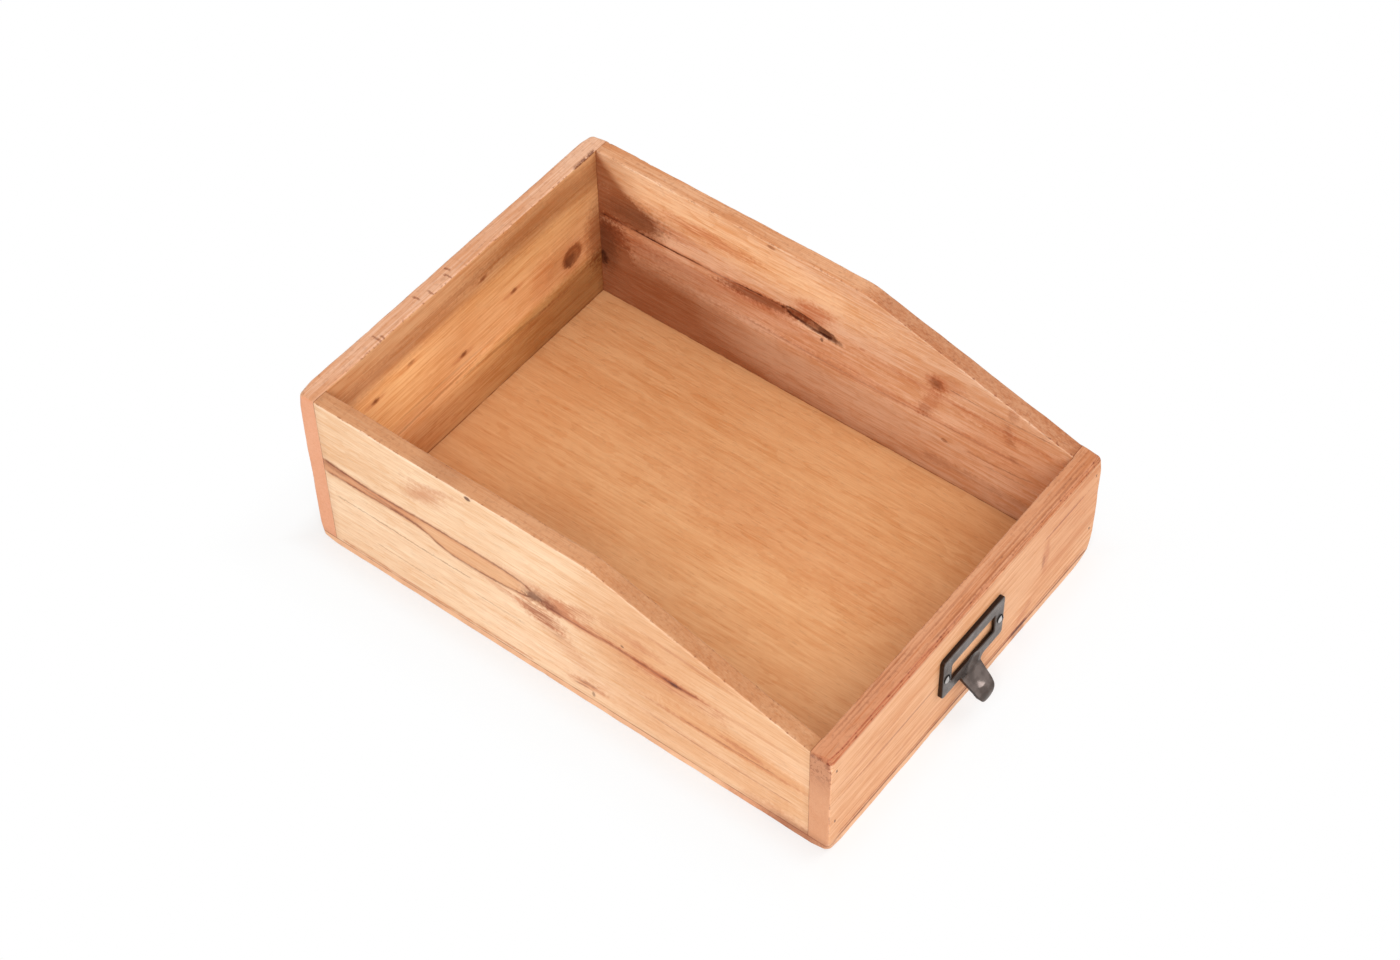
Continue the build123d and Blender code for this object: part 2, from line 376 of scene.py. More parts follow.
class Plank(Recipe):
    """A plank's material: places in mm along, across and through the plank, and marks on it."""

    def __init__(self, tree, along, across, through):
        super().__init__(tree)
        corner = self.outs("ShaderNodeTexCoord")
        place = self.vector("MULTIPLY", corner["Object"], (1000, 1000, 1000))
        in_mm, facing = self.split(place), self.split(corner["Normal"])
        self.along, self.across, self.through = in_mm[along], in_mm[across], in_mm[through]
        self.height, self.facing_up = in_mm["Z"], facing["Z"]
        self.facing_end, self.facing_broad = facing[along], facing[through]
        self.frayed = self.noise(place, 0.42, 3.0, 0.6) - 0.5
        self.patchy = self.noise(place, 0.11)
        with_grain = self.join(self.along * 0.07, self.across * 0.75, self.through * 0.75)
        self.stringy = self.noise(with_grain).ease(0.40, 0.58)
        self.marks = {}

    def mark(self, kind, *masks):
        """Adds masks to the marks of one kind."""
        found = [self.marks[kind]] if kind in self.marks else []
        self.marks[kind] = total(*found, *masks)

    def paint(self, kind, zone, *masks, spots=(), feathers=(), strokes=()):
        """Adds marks inside a zone: masks, and rows of values for spots, feathers and strokes.

        A row holds the values of the method that draws it, in their order.
        """
        drawn = [self.spot(*row) for row in spots] + [self.feather(*row) for row in feathers]
        drawn += [self.stroke(*row) for row in strokes]
        self.mark(kind, zone * total(*masks, *drawn))

    def marked(self, kind):
        """All the marks of one kind, from 0 to 1."""
        return self.math("ADD", self.marks.get(kind, 0.0), 0.0, clamp=True)

    def distance(self, along, across, long, high, slant=0, fray=0.5):
        """How far a point lies from the middle of an ellipse: 1 on its rim, which is frayed."""
        sine, cosine = math.sin(math.radians(slant)), math.cos(math.radians(slant))
        along, across = self.along - along, self.across - across
        long_way = (along * cosine + across * sine) * (1 / long)
        short_way = (across * cosine - along * sine) * (1 / high)
        return (long_way * long_way + short_way * short_way).root() + self.frayed * fray

    def spot(self, along, across, long, high, strength=1, slant=0, fray=0.5, soft=0.7):
        """A mask that is strong in the ellipse and fades over its rim."""
        far = self.distance(along, across, long, high, slant, fray)
        return far.ease(1 + soft / 2, 1 - soft / 2) * strength

    def feather(self, along, across, long, high, strength=1, slant=0):
        """A spot broken up into strings that run with the grain."""
        whole = self.spot(along, across, long, high, strength, slant, fray=1.5, soft=1.0)
        return whole * (self.stringy * 0.65 + 0.35)

    def course(self, points):
        """Height of a drawn line above each place along the plank, through a few points."""
        first, last = points[0][0], points[-1][0]
        knots = [((place - first) / (last - first), height) for place, height in points]
        return self.curve(self.along.ramp(first, last), knots, margin=1)

    def stroke(self, points, width, strength=1, wobble=1.2, fade=5.0):
        """A mask along a drawn line, thinning out at both ends."""
        first, last = points[0][0], points[-1][0]
        off_line = abs(self.across - self.course(points) + self.frayed * wobble)
        begun, ended = self.along.ease(first, first + fade), self.along.ease(last, last - fade)
        uneven = self.patchy.ease(0.30, 0.60) * 0.45 + 0.60
        return off_line.ease(width, width * 0.25) * begun * ended * uneven * strength

    def between(self, lower, upper, first, last, strength=1, soft=0.8):
        """A mask for the strip between two drawn lines, from one place along the plank on."""
        above = (self.across - self.course(lower)).ease(-soft, soft)
        below = (self.course(upper) - self.across).ease(-soft, soft)
        return above * below * self.along.ease(first, last) * strength


# %% [markdown]
# ## From figure to finish
# The planks have one finish and differ only in tone, figure and marks. The outside has paled,
# the inside is browner, the rubbed top edges are tan, and cut ends drink more stain. The
# direction that a surface faces tells these apart, so one recipe serves every plank. Marks come
# in kinds: deep for resinous wood, red, brown and olive for stains, dark for knots and cracks,
# and pale and gold for bare wood. Deep, brown and olive also lay painted shade low in the tray
# and in its inner corners, and pale and gold lay painted light and a painted highlight along
# the arrises. Each kind multiplies the shade of the wood under it.

# %% Plank material
stain_and_painted_light_tints = {
    "pale": (1.08, 1.15, 1.28, 1), "deep": (0.82, 0.60, 0.44, 1), "red": (0.72, 0.46, 0.36, 1),
    "gold": (1.25, 1.30, 1.14, 1), "olive": (0.62, 0.66, 0.42, 1), "brown": (0.40, 0.25, 0.18, 1),
    "dark": (0.14, 0.06, 0.04, 1),
}
pale_wood, deep_wood = (1.05, 1.10, 1.16, 1), (0.86, 0.70, 0.56, 1)


def plank_material(
    name, axes, outward, tones, pith, ring_width, offset, draw_marks, joints, figure_share=1.0
):
    """The finish of one plank; axes are those along it, across it and through it."""
    material = blank_material(name)
    wood = Plank(material.node_tree, *axes)
    figure = wood.outs("ShaderNodeGroup", {
        "Place": wood.join(wood.along, wood.through, wood.across), "Offset": offset,
        "Pith Depth": pith[0], "Pith Across": pith[1], "Ring Width": ring_width,
    }, node_tree=grain_tree)
    is_wall = axes[2] != "Z"

    outside = (wood.facing_broad * outward).ease(-0.3, 0.5)
    top = wood.facing_up.ease(0.45, 0.85) if is_wall else 0.0
    flat = abs(wood.facing_broad)
    edge_on = wood.math("SUBTRACT", 1.0, flat * flat, clamp=True).root()
    end = (abs(wood.facing_end) if is_wall else edge_on).ease(0.55, 0.85)
    outside_tone, inside_tone, top_tone, end_tone = [colour(*tone) for tone in tones]
    tone = wood.mix(outside, inside_tone, outside_tone)
    tone = wood.mix(end, wood.mix(top, tone, top_tone), end_tone)

    draw_marks(wood, outside, top, end)
    gap_share = wood.patchy.ease(0.30, 0.62) * 0.55 + 0.30
    for place, plane, share in joints(wood, outside):
        gap = abs(place - plane)
        line = gap.ease(0.60, 0.10) * gap_share
        wood.mark("brown", line * share, gap.ease(6.0, 0.0) * 0.14 * share)

    arris = wood.strongest(flat, edge_on).ease(0.985, 0.90)
    # Pale in patches along the rounded arrises: worn wood, and a painted highlight on the edges.
    rubbed_and_highlit_arris = arris * wood.patchy.ease(0.34, 0.56)
    grimy = arris * wood.frayed.ease(0.04, 0.16) * 0.45
    # Browner and redder in patches within 7 mm of the bottom.
    darker_foot = wood.height.ease(7.0, 0.5) * wood.patchy.ease(0.35, 0.65)
    scuffed = top * wood.frayed.ease(0.0, 0.20) * 0.20
    wood.mark("brown", grimy, scuffed, darker_foot * 0.12)
    wood.mark("red", darker_foot * 0.22)

    depth = (
        figure["Rings"] * 0.45 + (figure["Streaks"] - 0.5) * 1.4 + (figure["Lines"] - 0.5) * 1.9
        + (figure["Blotch"] - 0.5) * 1.4 + (figure["Fibre"] - 0.5) * 2.0
    )
    calm = (1.0 - end * 0.75) * figure_share
    depth = wood.math("MULTIPLY_ADD", depth, calm, 0.36, clamp=True)
    paler = wood.mix(1.0, tone, pale_wood, "MULTIPLY")
    deeper = wood.mix(1.0, tone, deep_wood, "MULTIPLY")
    shade = wood.mix(depth, paler, deeper)
    least = {"pale": rubbed_and_highlit_arris * 0.75, "dark": figure["Pores"] * 0.11}
    for kind, kind_tint in stain_and_painted_light_tints.items():
        mask = wood.marked(kind)
        if kind in least:
            mask = wood.math("MAXIMUM", mask, least[kind], clamp=True)
        shade = wood.mix(mask, shade, wood.mix(1.0, shade, kind_tint, "MULTIPLY"))

    relief = (
        figure["Fibre"] * 0.55 + figure["Lines"] * 0.5 + figure["Rings"] * 0.4
        - figure["Pores"] * 0.8 - wood.marked("dark") * 0.9
    )
    roughness = figure["Fibre"] * 0.16 + 0.44 - rubbed_and_highlit_arris * 0.08
    wood.surface(shade, roughness, relief, 0.55, 0.35, **{"Specular IOR Level": 0.25})
    print(name, "has", len(material.node_tree.nodes), "nodes")
    return material


# %% [markdown]
# ## The left side
# This plank shows most. A dark streak comes in from the back, opens round an eye of deeper wood
# and closes on a knot. Below the knot, red feathers run down, and a thin line runs on to the
# front.

# %% Left side's marks


def left_marks(wood, outside, top, end):
    along, across = wood.along, wood.across
    side = outside * (1.0 - top)
    upper = [
        (17, 72), (21, 75), (28, 77.2), (45, 78), (60, 78), (98, 77.2), (135, 75.6), (158, 76.6),
        (171, 79),
    ]
    lower = [
        (17, 71), (22, 67), (30, 65), (50, 62.6), (70, 61.8), (85, 64.2), (97, 68.4), (112, 70),
        (128, 69.2), (171, 68),
    ]
    front_line = [(-98, 71.4), (-80, 69.3), (-58, 70.2), (-40, 70.6), (-16, 68.9), (9, 69)]
    wood.paint(
        "deep", side, along.ease(18, -60) * (across.ease(12, 50) * 0.3 + 0.34),
        wood.between(lower, upper, 20, 30, 0.75),
        spots=[
            (-52, 70, 42, 20, 0.26, 0, 0.9, 1.2), (2, 46, 20, 9, 0.28, 20, 1.2, 1.2),
            (-120, 46, 48, 7, 0.5, 0, 1.2, 1), (-95, 18, 80, 7, 0.35, 0, 1.3, 1.1),
        ],
    )
    wood.paint(
        "red", side, wood.between(lower, upper, 88, 118, 0.42, 1.4),
        spots=[
            (7, 73, 17, 8, 0.6, -8, 1.3, 1), (24, 80.5, 17, 2.6, 0.26, 4, 1.5, 1.2),
            (36, 58.4, 20, 2.2, 0.5, 4, 1.5), (-128, 70, 40, 1.4, 0.3, 0, 1.5),
            (-56, 79, 4, 11, 0.16, 0, 1.5, 1.2), (-52, 85, 22, 3.4, 0.3, 4, 1.5),
            (-126, 47.5, 15, 2.2, 0.6, 4, 1.5), (-110, 42, 52, 1.6, 0.5, -1, 1.5),
            (-90, 96, 30, 1.4, 0.4, 5, 1.4), (-100, 27, 60, 1.4, 0.35, 1, 1.4),
            (92, 103, 18, 5, 0.35, -34, 1.6, 1.1), (93, 101, 15, 7, 0.32, -14, 1.6, 1.2),
            (84, 112, 22, 2.2, 0.3, -10, 1.5), (-155, 8, 26, 6, 0.45, 0, 1.3, 1),
        ],
        feathers=[
            (-8, 78, 16, 5, 0.7, -20), (-16, 71, 24, 4.5, 0.7, -4), (13, 56.6, 18, 7, 1, 6),
            (2, 47, 15, 6, 0.32, 22), (-10, 36, 14, 5, 0.26, 20), (-22, 27, 12, 4, 0.16, 12),
            (-18, 17, 13, 3.6, 0.75, -8), (-80, 67, 32, 6, 0.7, 3),
        ],
        strokes=[
            (upper, 3.4, 0.4), (lower, 3, 0.4), (front_line, 2.8, 0.8),
            ([(20, 8.6), (60, 8), (100, 7.6), (168, 8)], 1.5, 0.75, 2),
        ],
    )
    wood.paint(
        "brown", side,
        spots=[
            (14, 71.4, 10, 5.6, 0.5, -10, 1.3, 1), (4, 70, 8, 3.6, 0.45, -4, 1.4, 1),
            (120, 71.6, 22, 1, 0.35, 3, 1.2), (163, 75.5, 9, 3, 0.4, 8, 1.3, 1),
            (-18, 18.4, 7, 1.1, 0.5, -8, 1.2), (-14, 14.4, 5, 0.9, 0.4, -12, 1),
            (-80, 69, 6, 2.2, 0.5, 0, 1.2), (-160, 5.5, 15, 4.6, 0.42, 0, 1.2, 1),
            (-120, 3, 34, 2.4, 0.35, 0, 1.4, 1),
        ],
        feathers=[(13, 56.6, 13, 4, 0.5, 6), (6, 49.4, 10, 2.6, 0.25, 14)],
        strokes=[
            (upper, 1.35, 0.8, 1.8), (lower, 1.35, 0.8, 1.8), (front_line, 1.3, 0.62),
            ([(62, 50.6), (100, 49.6), (140, 50.2), (166, 49.6)], 0.9, 0.55, 2.6),
            ([(24, 39.2), (44, 38.6), (64, 38.6)], 0.8, 0.4, 2.6),
            ([(84, 27.4), (110, 26.4), (138, 27)], 0.8, 0.35, 2.6),
            ([(-150, 44.4), (-120, 42.6), (-84, 41.6)], 0.8, 0.45, 2.2),
            ([(-160, 26.8), (-110, 26), (-60, 27.4)], 0.7, 0.3, 2.2),
        ],
    )
    wood.paint(
        "dark", side,
        spots=[
            (17, 70.4, 6, 3, 0.52, -16, 1.3, 1), (-45, 75, 1.1, 0.9, 0.6, 0, 0.2),
            (-80, 69, 2.4, 1.4, 0.5), (-22, 11.8, 1.1, 2.2, 0.55, 0, 0.2),
            (59.5, 123.2, 2.2, 1.5, 0.9, 0, 0.5),
        ],
    )
    # A painted highlight: a thin pale line along the outer arris of the top edge.
    arris_highlight_line = [
        (-167, 85.0), (-110, 100.6), (-60, 114.7), (-32, 122.6), (-18, 124.6), (60, 124.7),
        (171, 124.7),
    ]
    wood.paint("pale", outside, strokes=[(arris_highlight_line, 1.2, 1, 0.8)])
    wood.paint(
        "pale", side,
        spots=[
            (100, 38, 95, 30, 0.15, 0, 0.9, 1.4), (0, 24, 46, 12, 0.4, 0, 1, 1.4),
            (-158, 56, 18, 12, 0.5, 0, 0.5, 1.2),
        ],
    )
    wood.mark("olive", top * along.ease(-15, -45) * 0.12)
    wood.paint(
        "brown", top, along.ease(-15, -45) * 0.14, spots=[(82, 0, 14, 400, 0.22, 0, 1.6, 1.1)]
    )


# %% [markdown]
# ## The right side
# Its inner face shows. A straight crack runs from the back and ends in an old gouge, with a
# reddish feather above it. The back end is darker between the crack and a diagonal line, and
# one small knot sits near the front. Painted shade darkens the face towards the bottom, most
# in the low corner by the back board.

# %% Right side's marks


def right_marks(wood, outside, top, end):
    along, across, frayed = wood.along, wood.across, wood.frayed
    side = (1.0 - outside) * (1.0 - top)
    crack = [(27, 79), (45, 78.4), (70, 77), (92, 76.0), (125, 75.2), (150, 75), (171, 74.6)]
    dark_corner_edge = [(118, 84), (130, 92), (142, 97), (156, 109), (171, 125)]
    # Painted shade: darker towards the bottom of the inner face.
    low_shade_zone = (across + frayed * 10.0).ease(60, 34)
    wood.paint(
        "deep", side,
        spots=[
            (-60, 74, 70, 5, 0.4, 2, 1.4, 1), (60, 60, 90, 10, 0.35, 0, 1.2, 1.2),
            (-140, 62, 40, 24, 0.5, 0, 1, 1.3),
        ],
    )
    wood.paint(
        "red", side,
        spots=[
            (10, 86, 14, 6.5, 0.42, -24, 1.9, 1.2), (15, 92, 8, 4, 0.3, -30, 1.9, 1.2),
            (48, 73.6, 30, 6, 0.7, -4, 1.2, 1), (-77, 84, 7.5, 6.6, 0.62, 0, 1.2),
            (-86, 88, 10, 7.5, 0.4, 0, 1.5, 1.1), (-73, 64, 5, 13, 0.5, 28, 1.9, 1.1),
            (-129, 92, 3.6, 5, 0.28, 8, 1.9, 1.3), (-127, 74, 4.4, 8, 0.26, -10, 1.9, 1.3),
            (-25, 79, 2, 1, 0.6), (-50, 53, 110, 2, 0.35, -1, 1.6),
            (-36, 56.4, 34, 0.9, 0.4, 3, 1.6), (-22, 49.6, 40, 0.9, 0.35, -2, 1.6),
            (40, 57.4, 60, 1, 0.25, 1, 1.6), (-100, 75, 60, 1.6, 0.4, 1, 1.4),
            (150, 62, 26, 9, 0.4, 0, 1.2, 1.2), (80, 66, 80, 5, 0.3, 0, 1.5, 1.1),
        ],
        feathers=[(11, 86, 17, 8, 0.6, -12), (88, 103, 36, 5, 0.8), (112, 90, 26, 4, 0.6)],
        strokes=[(crack, 3.4, 0.6, 2.4)],
    )
    # Painted shade: browner towards the bottom, more towards the front, and most in the low back
    # corner by the back board.
    wood.paint(
        "brown", side, low_shade_zone * (along.ease(-145, -40) * 0.34 + 0.04),
        low_shade_zone * along.ease(-40, 70) * 0.22,
        along.ease(35, 130) * across.ease(79, 60) * 0.5,
        (across + frayed * 8.0).ease(30, 8) * 0.25,
        # Darker between the crack and a diagonal line at the back end.
        wood.between(crack, dark_corner_edge, 114, 138, 0.72, 6.0),
        spots=[
            (12, 76.8, 20, 4.2, 0.88, 8, 0.6, 0.5), (50, 74.6, 28, 3.8, 0.66, -4, 1.4, 1),
            (160, 112, 20, 14, 0.3, 40, 1, 1.3), (147, 87, 27, 11, 0.56, -3, 1.6, 1.2),
            # These two spots are painted shade in the low back corner.
            (166, 50, 15, 25, 0.9, 0, 1.4, 1.1), (168, 34, 8, 10, 0.55, 0, 0.9, 0.6),
            (-77, 84, 4.6, 4.2, 0.56, 0, 1, 0.9), (-70, 57.6, 4, 5, 0.3, 34, 1.9, 1.1),
            (-129, 91, 3, 5, 0.2, 8, 1.9, 1.2), (-127, 77, 2.4, 5.4, 0.22, -14, 1.9, 1.2),
            (-129, 68, 3.4, 3, 0.22, 12, 1.9, 1.2), (-132, 56, 2.6, 3, 0.24, 0, 1.9, 1.2),
            (60, 60, 55, 10, 0.1, 0, 1.3, 1.3), (-85, 40, 2.4, 1.4, 0.5, 0, 1),
            (41, 123, 3, 1.2, 0.7, 0, 0.8),
        ],
        strokes=[
            ([(-160, 20), (-120, 21), (-70, 19)], 5, 0.25, 9),
            ([(-142, 54.8), (-60, 52), (10, 51), (60, 51.5)], 1.1, 0.3, 3.2),
            ([(-148, 45.6), (-122, 42), (-98, 41.2)], 0.9, 0.5, 2.2),
            ([(-146, 38.6), (-110, 37)], 0.8, 0.3, 2.4),
            ([(-158, 86), (-100, 84.6), (-84, 86)], 0.9, 0.5, 2),
        ],
    )
    wood.paint(
        "dark", side, wood.stroke(crack, 1.0, 0.9, wobble=1.1) * (wood.stringy * 0.55 + 0.45),
        spots=[
            (48, 75, 24, 2.6, 0.16, -4, 1.6, 1.1), (144, 86, 20, 8, 0.3, -4, 1.6, 1.2),
            # The spots at 167 and 170 mm along are painted shade in the low back corner.
            (167, 50, 9, 20, 0.45, 0, 1.5, 1.2), (-1, 74.4, 10, 2.6, 0.62, 10, 0.7, 0.6),
            (3.6, 68.6, 1.1, 1.5, 0.7, 0, 0.4), (-77, 84, 2, 1.7, 0.22, 0, 0.8),
            (170, 36, 4, 6, 0.5, 0, 0.9),
        ],
        strokes=[
            ([(88, 76.2), (120, 75.4), (150, 75)], 1, 0.35, 0.6, 12),
            ([(-6, 77), (4, 78.6), (16, 80.6), (24, 81.4), (31, 79)], 1.3, 0.85, 0.6, 2),
            ([(-4, 73.4), (6, 72.8), (20, 74.8), (30, 78)], 1.1, 0.7, 0.6, 2),
            ([(-169, 87), (-158, 88.4), (-147, 91)], 0.8, 0.7, 0.8, 3),
        ],
    )
    wood.paint(
        "pale", side,
        spots=[(40, 118, 90, 8, 0.35, 0, 0.9, 1.3), (50, 60, 60, 14, 0.6, 0, 0.9, 1.3)],
    )
    wood.paint("gold", side, spots=[(72, 110, 105, 16, 0.76, 3, 0.8, 1.3)])
    on_slope = top * along.ease(-15, -40)
    wood.mark("brown", on_slope * 0.41)
    wood.mark("deep", on_slope * 0.2)


# %% [markdown]
# ## The ends and the base
# The back board has one round knot and a few pin knots, and cross cuts nick its top. Its inner
# face is painted lighter at the left and with shade towards the bottom and the right. The front
# board is clean and even, with a lip that hands have darkened and a stain at its foot. The base
# shows its floor inside and a thin strip all round.

# %% Marks of the other planks


def back_marks(wood, outside, top, end):
    along, across, frayed = wood.along, wood.across, wood.frayed
    inside = (1.0 - outside) * (1.0 - top) * (1.0 - end)
    knot = wood.distance(92, 58.5, 8.2, 7.6, fray=0.45)
    ring = knot.ease(1.2, 0.98) * knot.ease(0.55, 0.85)
    wood.paint(
        "pale", inside, knot.ease(1.9, 1.4) * knot.ease(1.05, 1.3) * 0.8,
        across.ease(94, 104) * (along.ease(90, -30) * 0.8 + 0.2),
        spots=[(0, 46, 90, 6, 0.35, 3, 1.3, 1), (-30, 42, 70, 9, 0.6, 2, 1.2, 1.2)],
    )
    # Painted light: the left part of the inner face, 56 to 88 mm up, is paler and more golden.
    painted_light_left = along.ease(-10, -70) * across.ease(100, 88) * across.ease(42, 56)
    wood.mark("gold", inside * painted_light_left * 0.6)
    wood.mark("pale", inside * painted_light_left * 0.55)
    wood.paint("gold", inside, spots=[(0, 42, 80, 6, 0.25, 2, 1.4, 1.2)])
    wood.paint(
        "red", inside, knot.ease(1.9, 1.0) * 0.36,
        spots=[
            # The spot at 112 mm is painted shade by the corner with the right side.
            (112, 56, 8, 17, 0.3, 0, 1.2, 1.3), (64, 60, 10, 16, 0.3, 0, 1.2, 1.1),
            (70, 34, 50, 2.6, 0.35, 6, 1.5, 0.9),
        ],
    )
    pins = [
        (-84, 84.7, 1.0), (-52.5, 89.5, 0.5), (13, 104.5, 0.55), (38, 73.4, 0.9), (-9.5, 59, 1.0),
    ]
    for x, y, strength in pins:
        wood.paint("brown", inside, spots=[(x, y, 3, 1.8, 0.85 * strength, 0, 0.9, 1)])
        wood.paint("red", inside, spots=[(x - 1.5, y - 0.4, 9, 1.9, 0.6 * strength, 0, 1.2, 1.2)])
        wood.paint("dark", inside, spots=[(x, y, 1.2, 0.9, 0.35 * strength)])
    # Painted shade: deep, olive and brown marks darken the inner face towards the bottom, more
    # towards the right.
    wood.mark("deep", inside * (across + frayed * 8.0).ease(52, 34) * 0.12)
    olive_low_shade = (across + frayed * 9.0).ease(48, 38) * along.ease(-60, 70)
    wood.paint("olive", inside, olive_low_shade * 0.55, spots=[(60, 100, 60, 20, 0.22, 0, 1, 1.4)])
    wood.paint(
        "brown", inside, (across + frayed * 12.0).ease(92, 104) * 0.4,
        # Painted shade low down, more towards the right.
        (across + frayed * 8.0).ease(46, 20) * 0.3,
        (across + frayed * 9.0).ease(52, 36) * along.ease(0, 100) * 0.34,
        ring * 0.26, knot.ease(1.3, 0.6) * 0.54,
        spots=[
            (-60, 103.6, 52, 4.4, 0.2, -2, 1.5, 1.2), (-20, 110, 70, 3, 0.16, -1, 1.6, 1.2),
            (66, 112, 60, 9, 0.24, 0, 1.2, 1.2), (84, 60, 15, 15, 0.2, 0, 1.2, 1.3),
            # The spot at 116 mm is painted shade by the corner with the right side.
            (116, 57, 9, 24, 0.66, 0, 1.3, 1.3), (30, 38, 44, 1.4, 0.35, -4, 1.5),
            (-40, 44, 40, 1.2, 0.3, 3, 1.5), (-30, 52, 50, 1, 0.2, -2, 1.5),
        ],
    )
    wood.paint("dark", inside, ring * 0.1, spots=[(89.4, 56.8, 5.2, 4.6, 0.5, 0, 1.6, 1)])
    nicks = [
        (-73, 173.6, 3.4), (-70, 172.4, 1.2), (-28, 172.8, 2.4), (-36, 177, 1.6), (-12, 174, 2.0),
        (-8, 178, 1.4),
    ]
    for x, y, reach in nicks:
        at_x = abs(along - x + frayed * 3.0)
        at_y = abs(wood.through - y)
        cut = at_x.ease(1.2, 0.2) * at_y.ease(reach + 1.5, reach) * top
        wood.mark("brown", cut * 0.75)
    joint_dirt = (
        wood.through.ease(173.6, 172.0) * along.ease(97, 103)
        * wood.facing_up.ease(0.2, 0.5) * along.ease(121, 118)
    )
    wood.mark("brown", joint_dirt * frayed.ease(-0.2, 0.0) * 0.8)
    wood.mark("dark", joint_dirt * frayed.ease(-0.1, 0.06) * 0.5)


def front_marks(wood, outside, top, end):
    along, across, frayed = wood.along, wood.across, wood.frayed
    lip = wood.facing_up.ease(0.1, 0.42) * wood.facing_up.ease(0.985, 0.9) * outside
    to_left = along.ease(60, -90)
    wood.mark("red", lip * (to_left * 0.45 + 0.2))
    wood.paint(
        "red", outside, across.ease(79.0, 83.0) * to_left * 0.4,
        spots=[
            (52, 7, 13, 2.6, 0.5, 0, 1.4), (-60, 44, 60, 1.4, 0.4, 0, 1.5),
            (-95, 56, 30, 1.2, 0.35, 0, 1.5), (94, 66.4, 22, 1.4, 0.55, 0, 1.4),
            (76, 50, 3.4, 13, 0.5, 0, 1.6, 1.1), (57, 17, 9, 3.4, 0.45, 30, 1.6, 1.1),
            (-20, 22, 60, 2, 0.25, 0, 1.3),
        ],
        strokes=[([(-124, 10.4), (-60, 9.4), (0, 9.2), (60, 9.6), (124, 10.4)], 1.2, 0.5, 1.6)],
    )
    wood.mark("deep", outside * along.ease(20, 110) * across.ease(14, 40) * 0.46)
    wood.mark("brown", lip * (wood.stringy * 0.25 + 0.12))
    wood.paint(
        "brown", outside, wood.facing_up.ease(0.3, 0.1) * across.ease(81.6, 82.4) * 0.35,
        spots=[
            (-60, 43.6, 40, 0.8, 0.35, 0, 1.2), (94, 66.4, 18, 0.8, 0.4, 0, 1.2),
            (74, 47, 1.6, 5, 0.35, 0, 1.4), (53, 7, 10, 2, 0.8, 0, 1.4),
        ],
        strokes=[
            ([(-124, 10.2), (-60, 9.2), (0, 9), (60, 9.4), (124, 10.2)], 0.9, 0.35, 1.6),
            ([(-126, 6.9), (0, 6.7), (126, 6.9)], 1.3, 0.8, 1.2),
        ],
    )
    wood.paint("dark", outside, spots=[(54, 6.6, 8, 1.6, 0.7, 0, 1.3)])
    on_top = top * (1.0 - lip)
    wood.mark("deep", on_top * along.ease(-30, -80) * 0.22)
    worn_lines = [
        (-174.5, -125, 20, 0.3), (-179.6, -40, 120, 0.42), (-176.8, 20, 125, 0.3),
        (-172.0, -120, -40, 0.35),
    ]
    for y, first, last, strength in worn_lines:
        off_line = abs(wood.through - y + frayed * 1.6)
        reach = along.ease(first, first + 12) * along.ease(last, last - 12)
        wood.mark("brown", on_top * off_line.ease(0.9, 0.2) * reach * strength)
    left_end = end * along.ease(-120, -126)
    wood.paint(
        "brown", left_end, across.ease(40, 76) * 0.3,
        frayed.ease(0.0, 0.1) * across.ease(56, 76) * 0.45,
        across.ease(14, 4) * 0.25,
    )
    chips = left_end * across.ease(70, 80) * frayed.ease(0.05, 0.12)
    wood.mark("pale", chips * 0.9)


def base_marks(wood, outside, top, end):
    wood.paint("red", 1.0, spots=[(-40, 30, 90, 26, 0.25, 0, 1.2, 1.3)])
    wood.paint(
        "red", end, spots=[(-183, 52, 10, 8, 0.35, 0, 1.3), (-150, -130, 34, 12, 0.6, 0, 1.4, 1.1)]
    )
    wood.paint("brown", 1.0, spots=[(70, -50, 40, 18, 0.12, 0, 1.2, 1.3)])
    wood.paint(
        "brown", end,
        spots=[(-183, 53, 7, 6, 0.35, 0, 1.3), (-160, -130, 20, 9, 0.55, 0, 1.4, 1.1)],
    )


# %% [markdown]
# ## Metal
# The pull is an iron casting that has gone nearly black. Its skin is grainy from the sand
# mould, brown rust sits in its corners, and fingers have rubbed the tongue, whose lower slope is
# also painted lighter as a highlight. The screws are bright steel with slots and head edges
# painted near black as shade and grime, the brads dull wire.

# %% Metal finishes
screw_x, screw_z, screw_tilt = 25.7, 47.3, math.radians(60.0)
slot_width, slot_floor = 1.2, -187.4
rust_brown, shade_and_grime_black = colour(86, 62, 45), (0.012, 0.009, 0.008, 1)


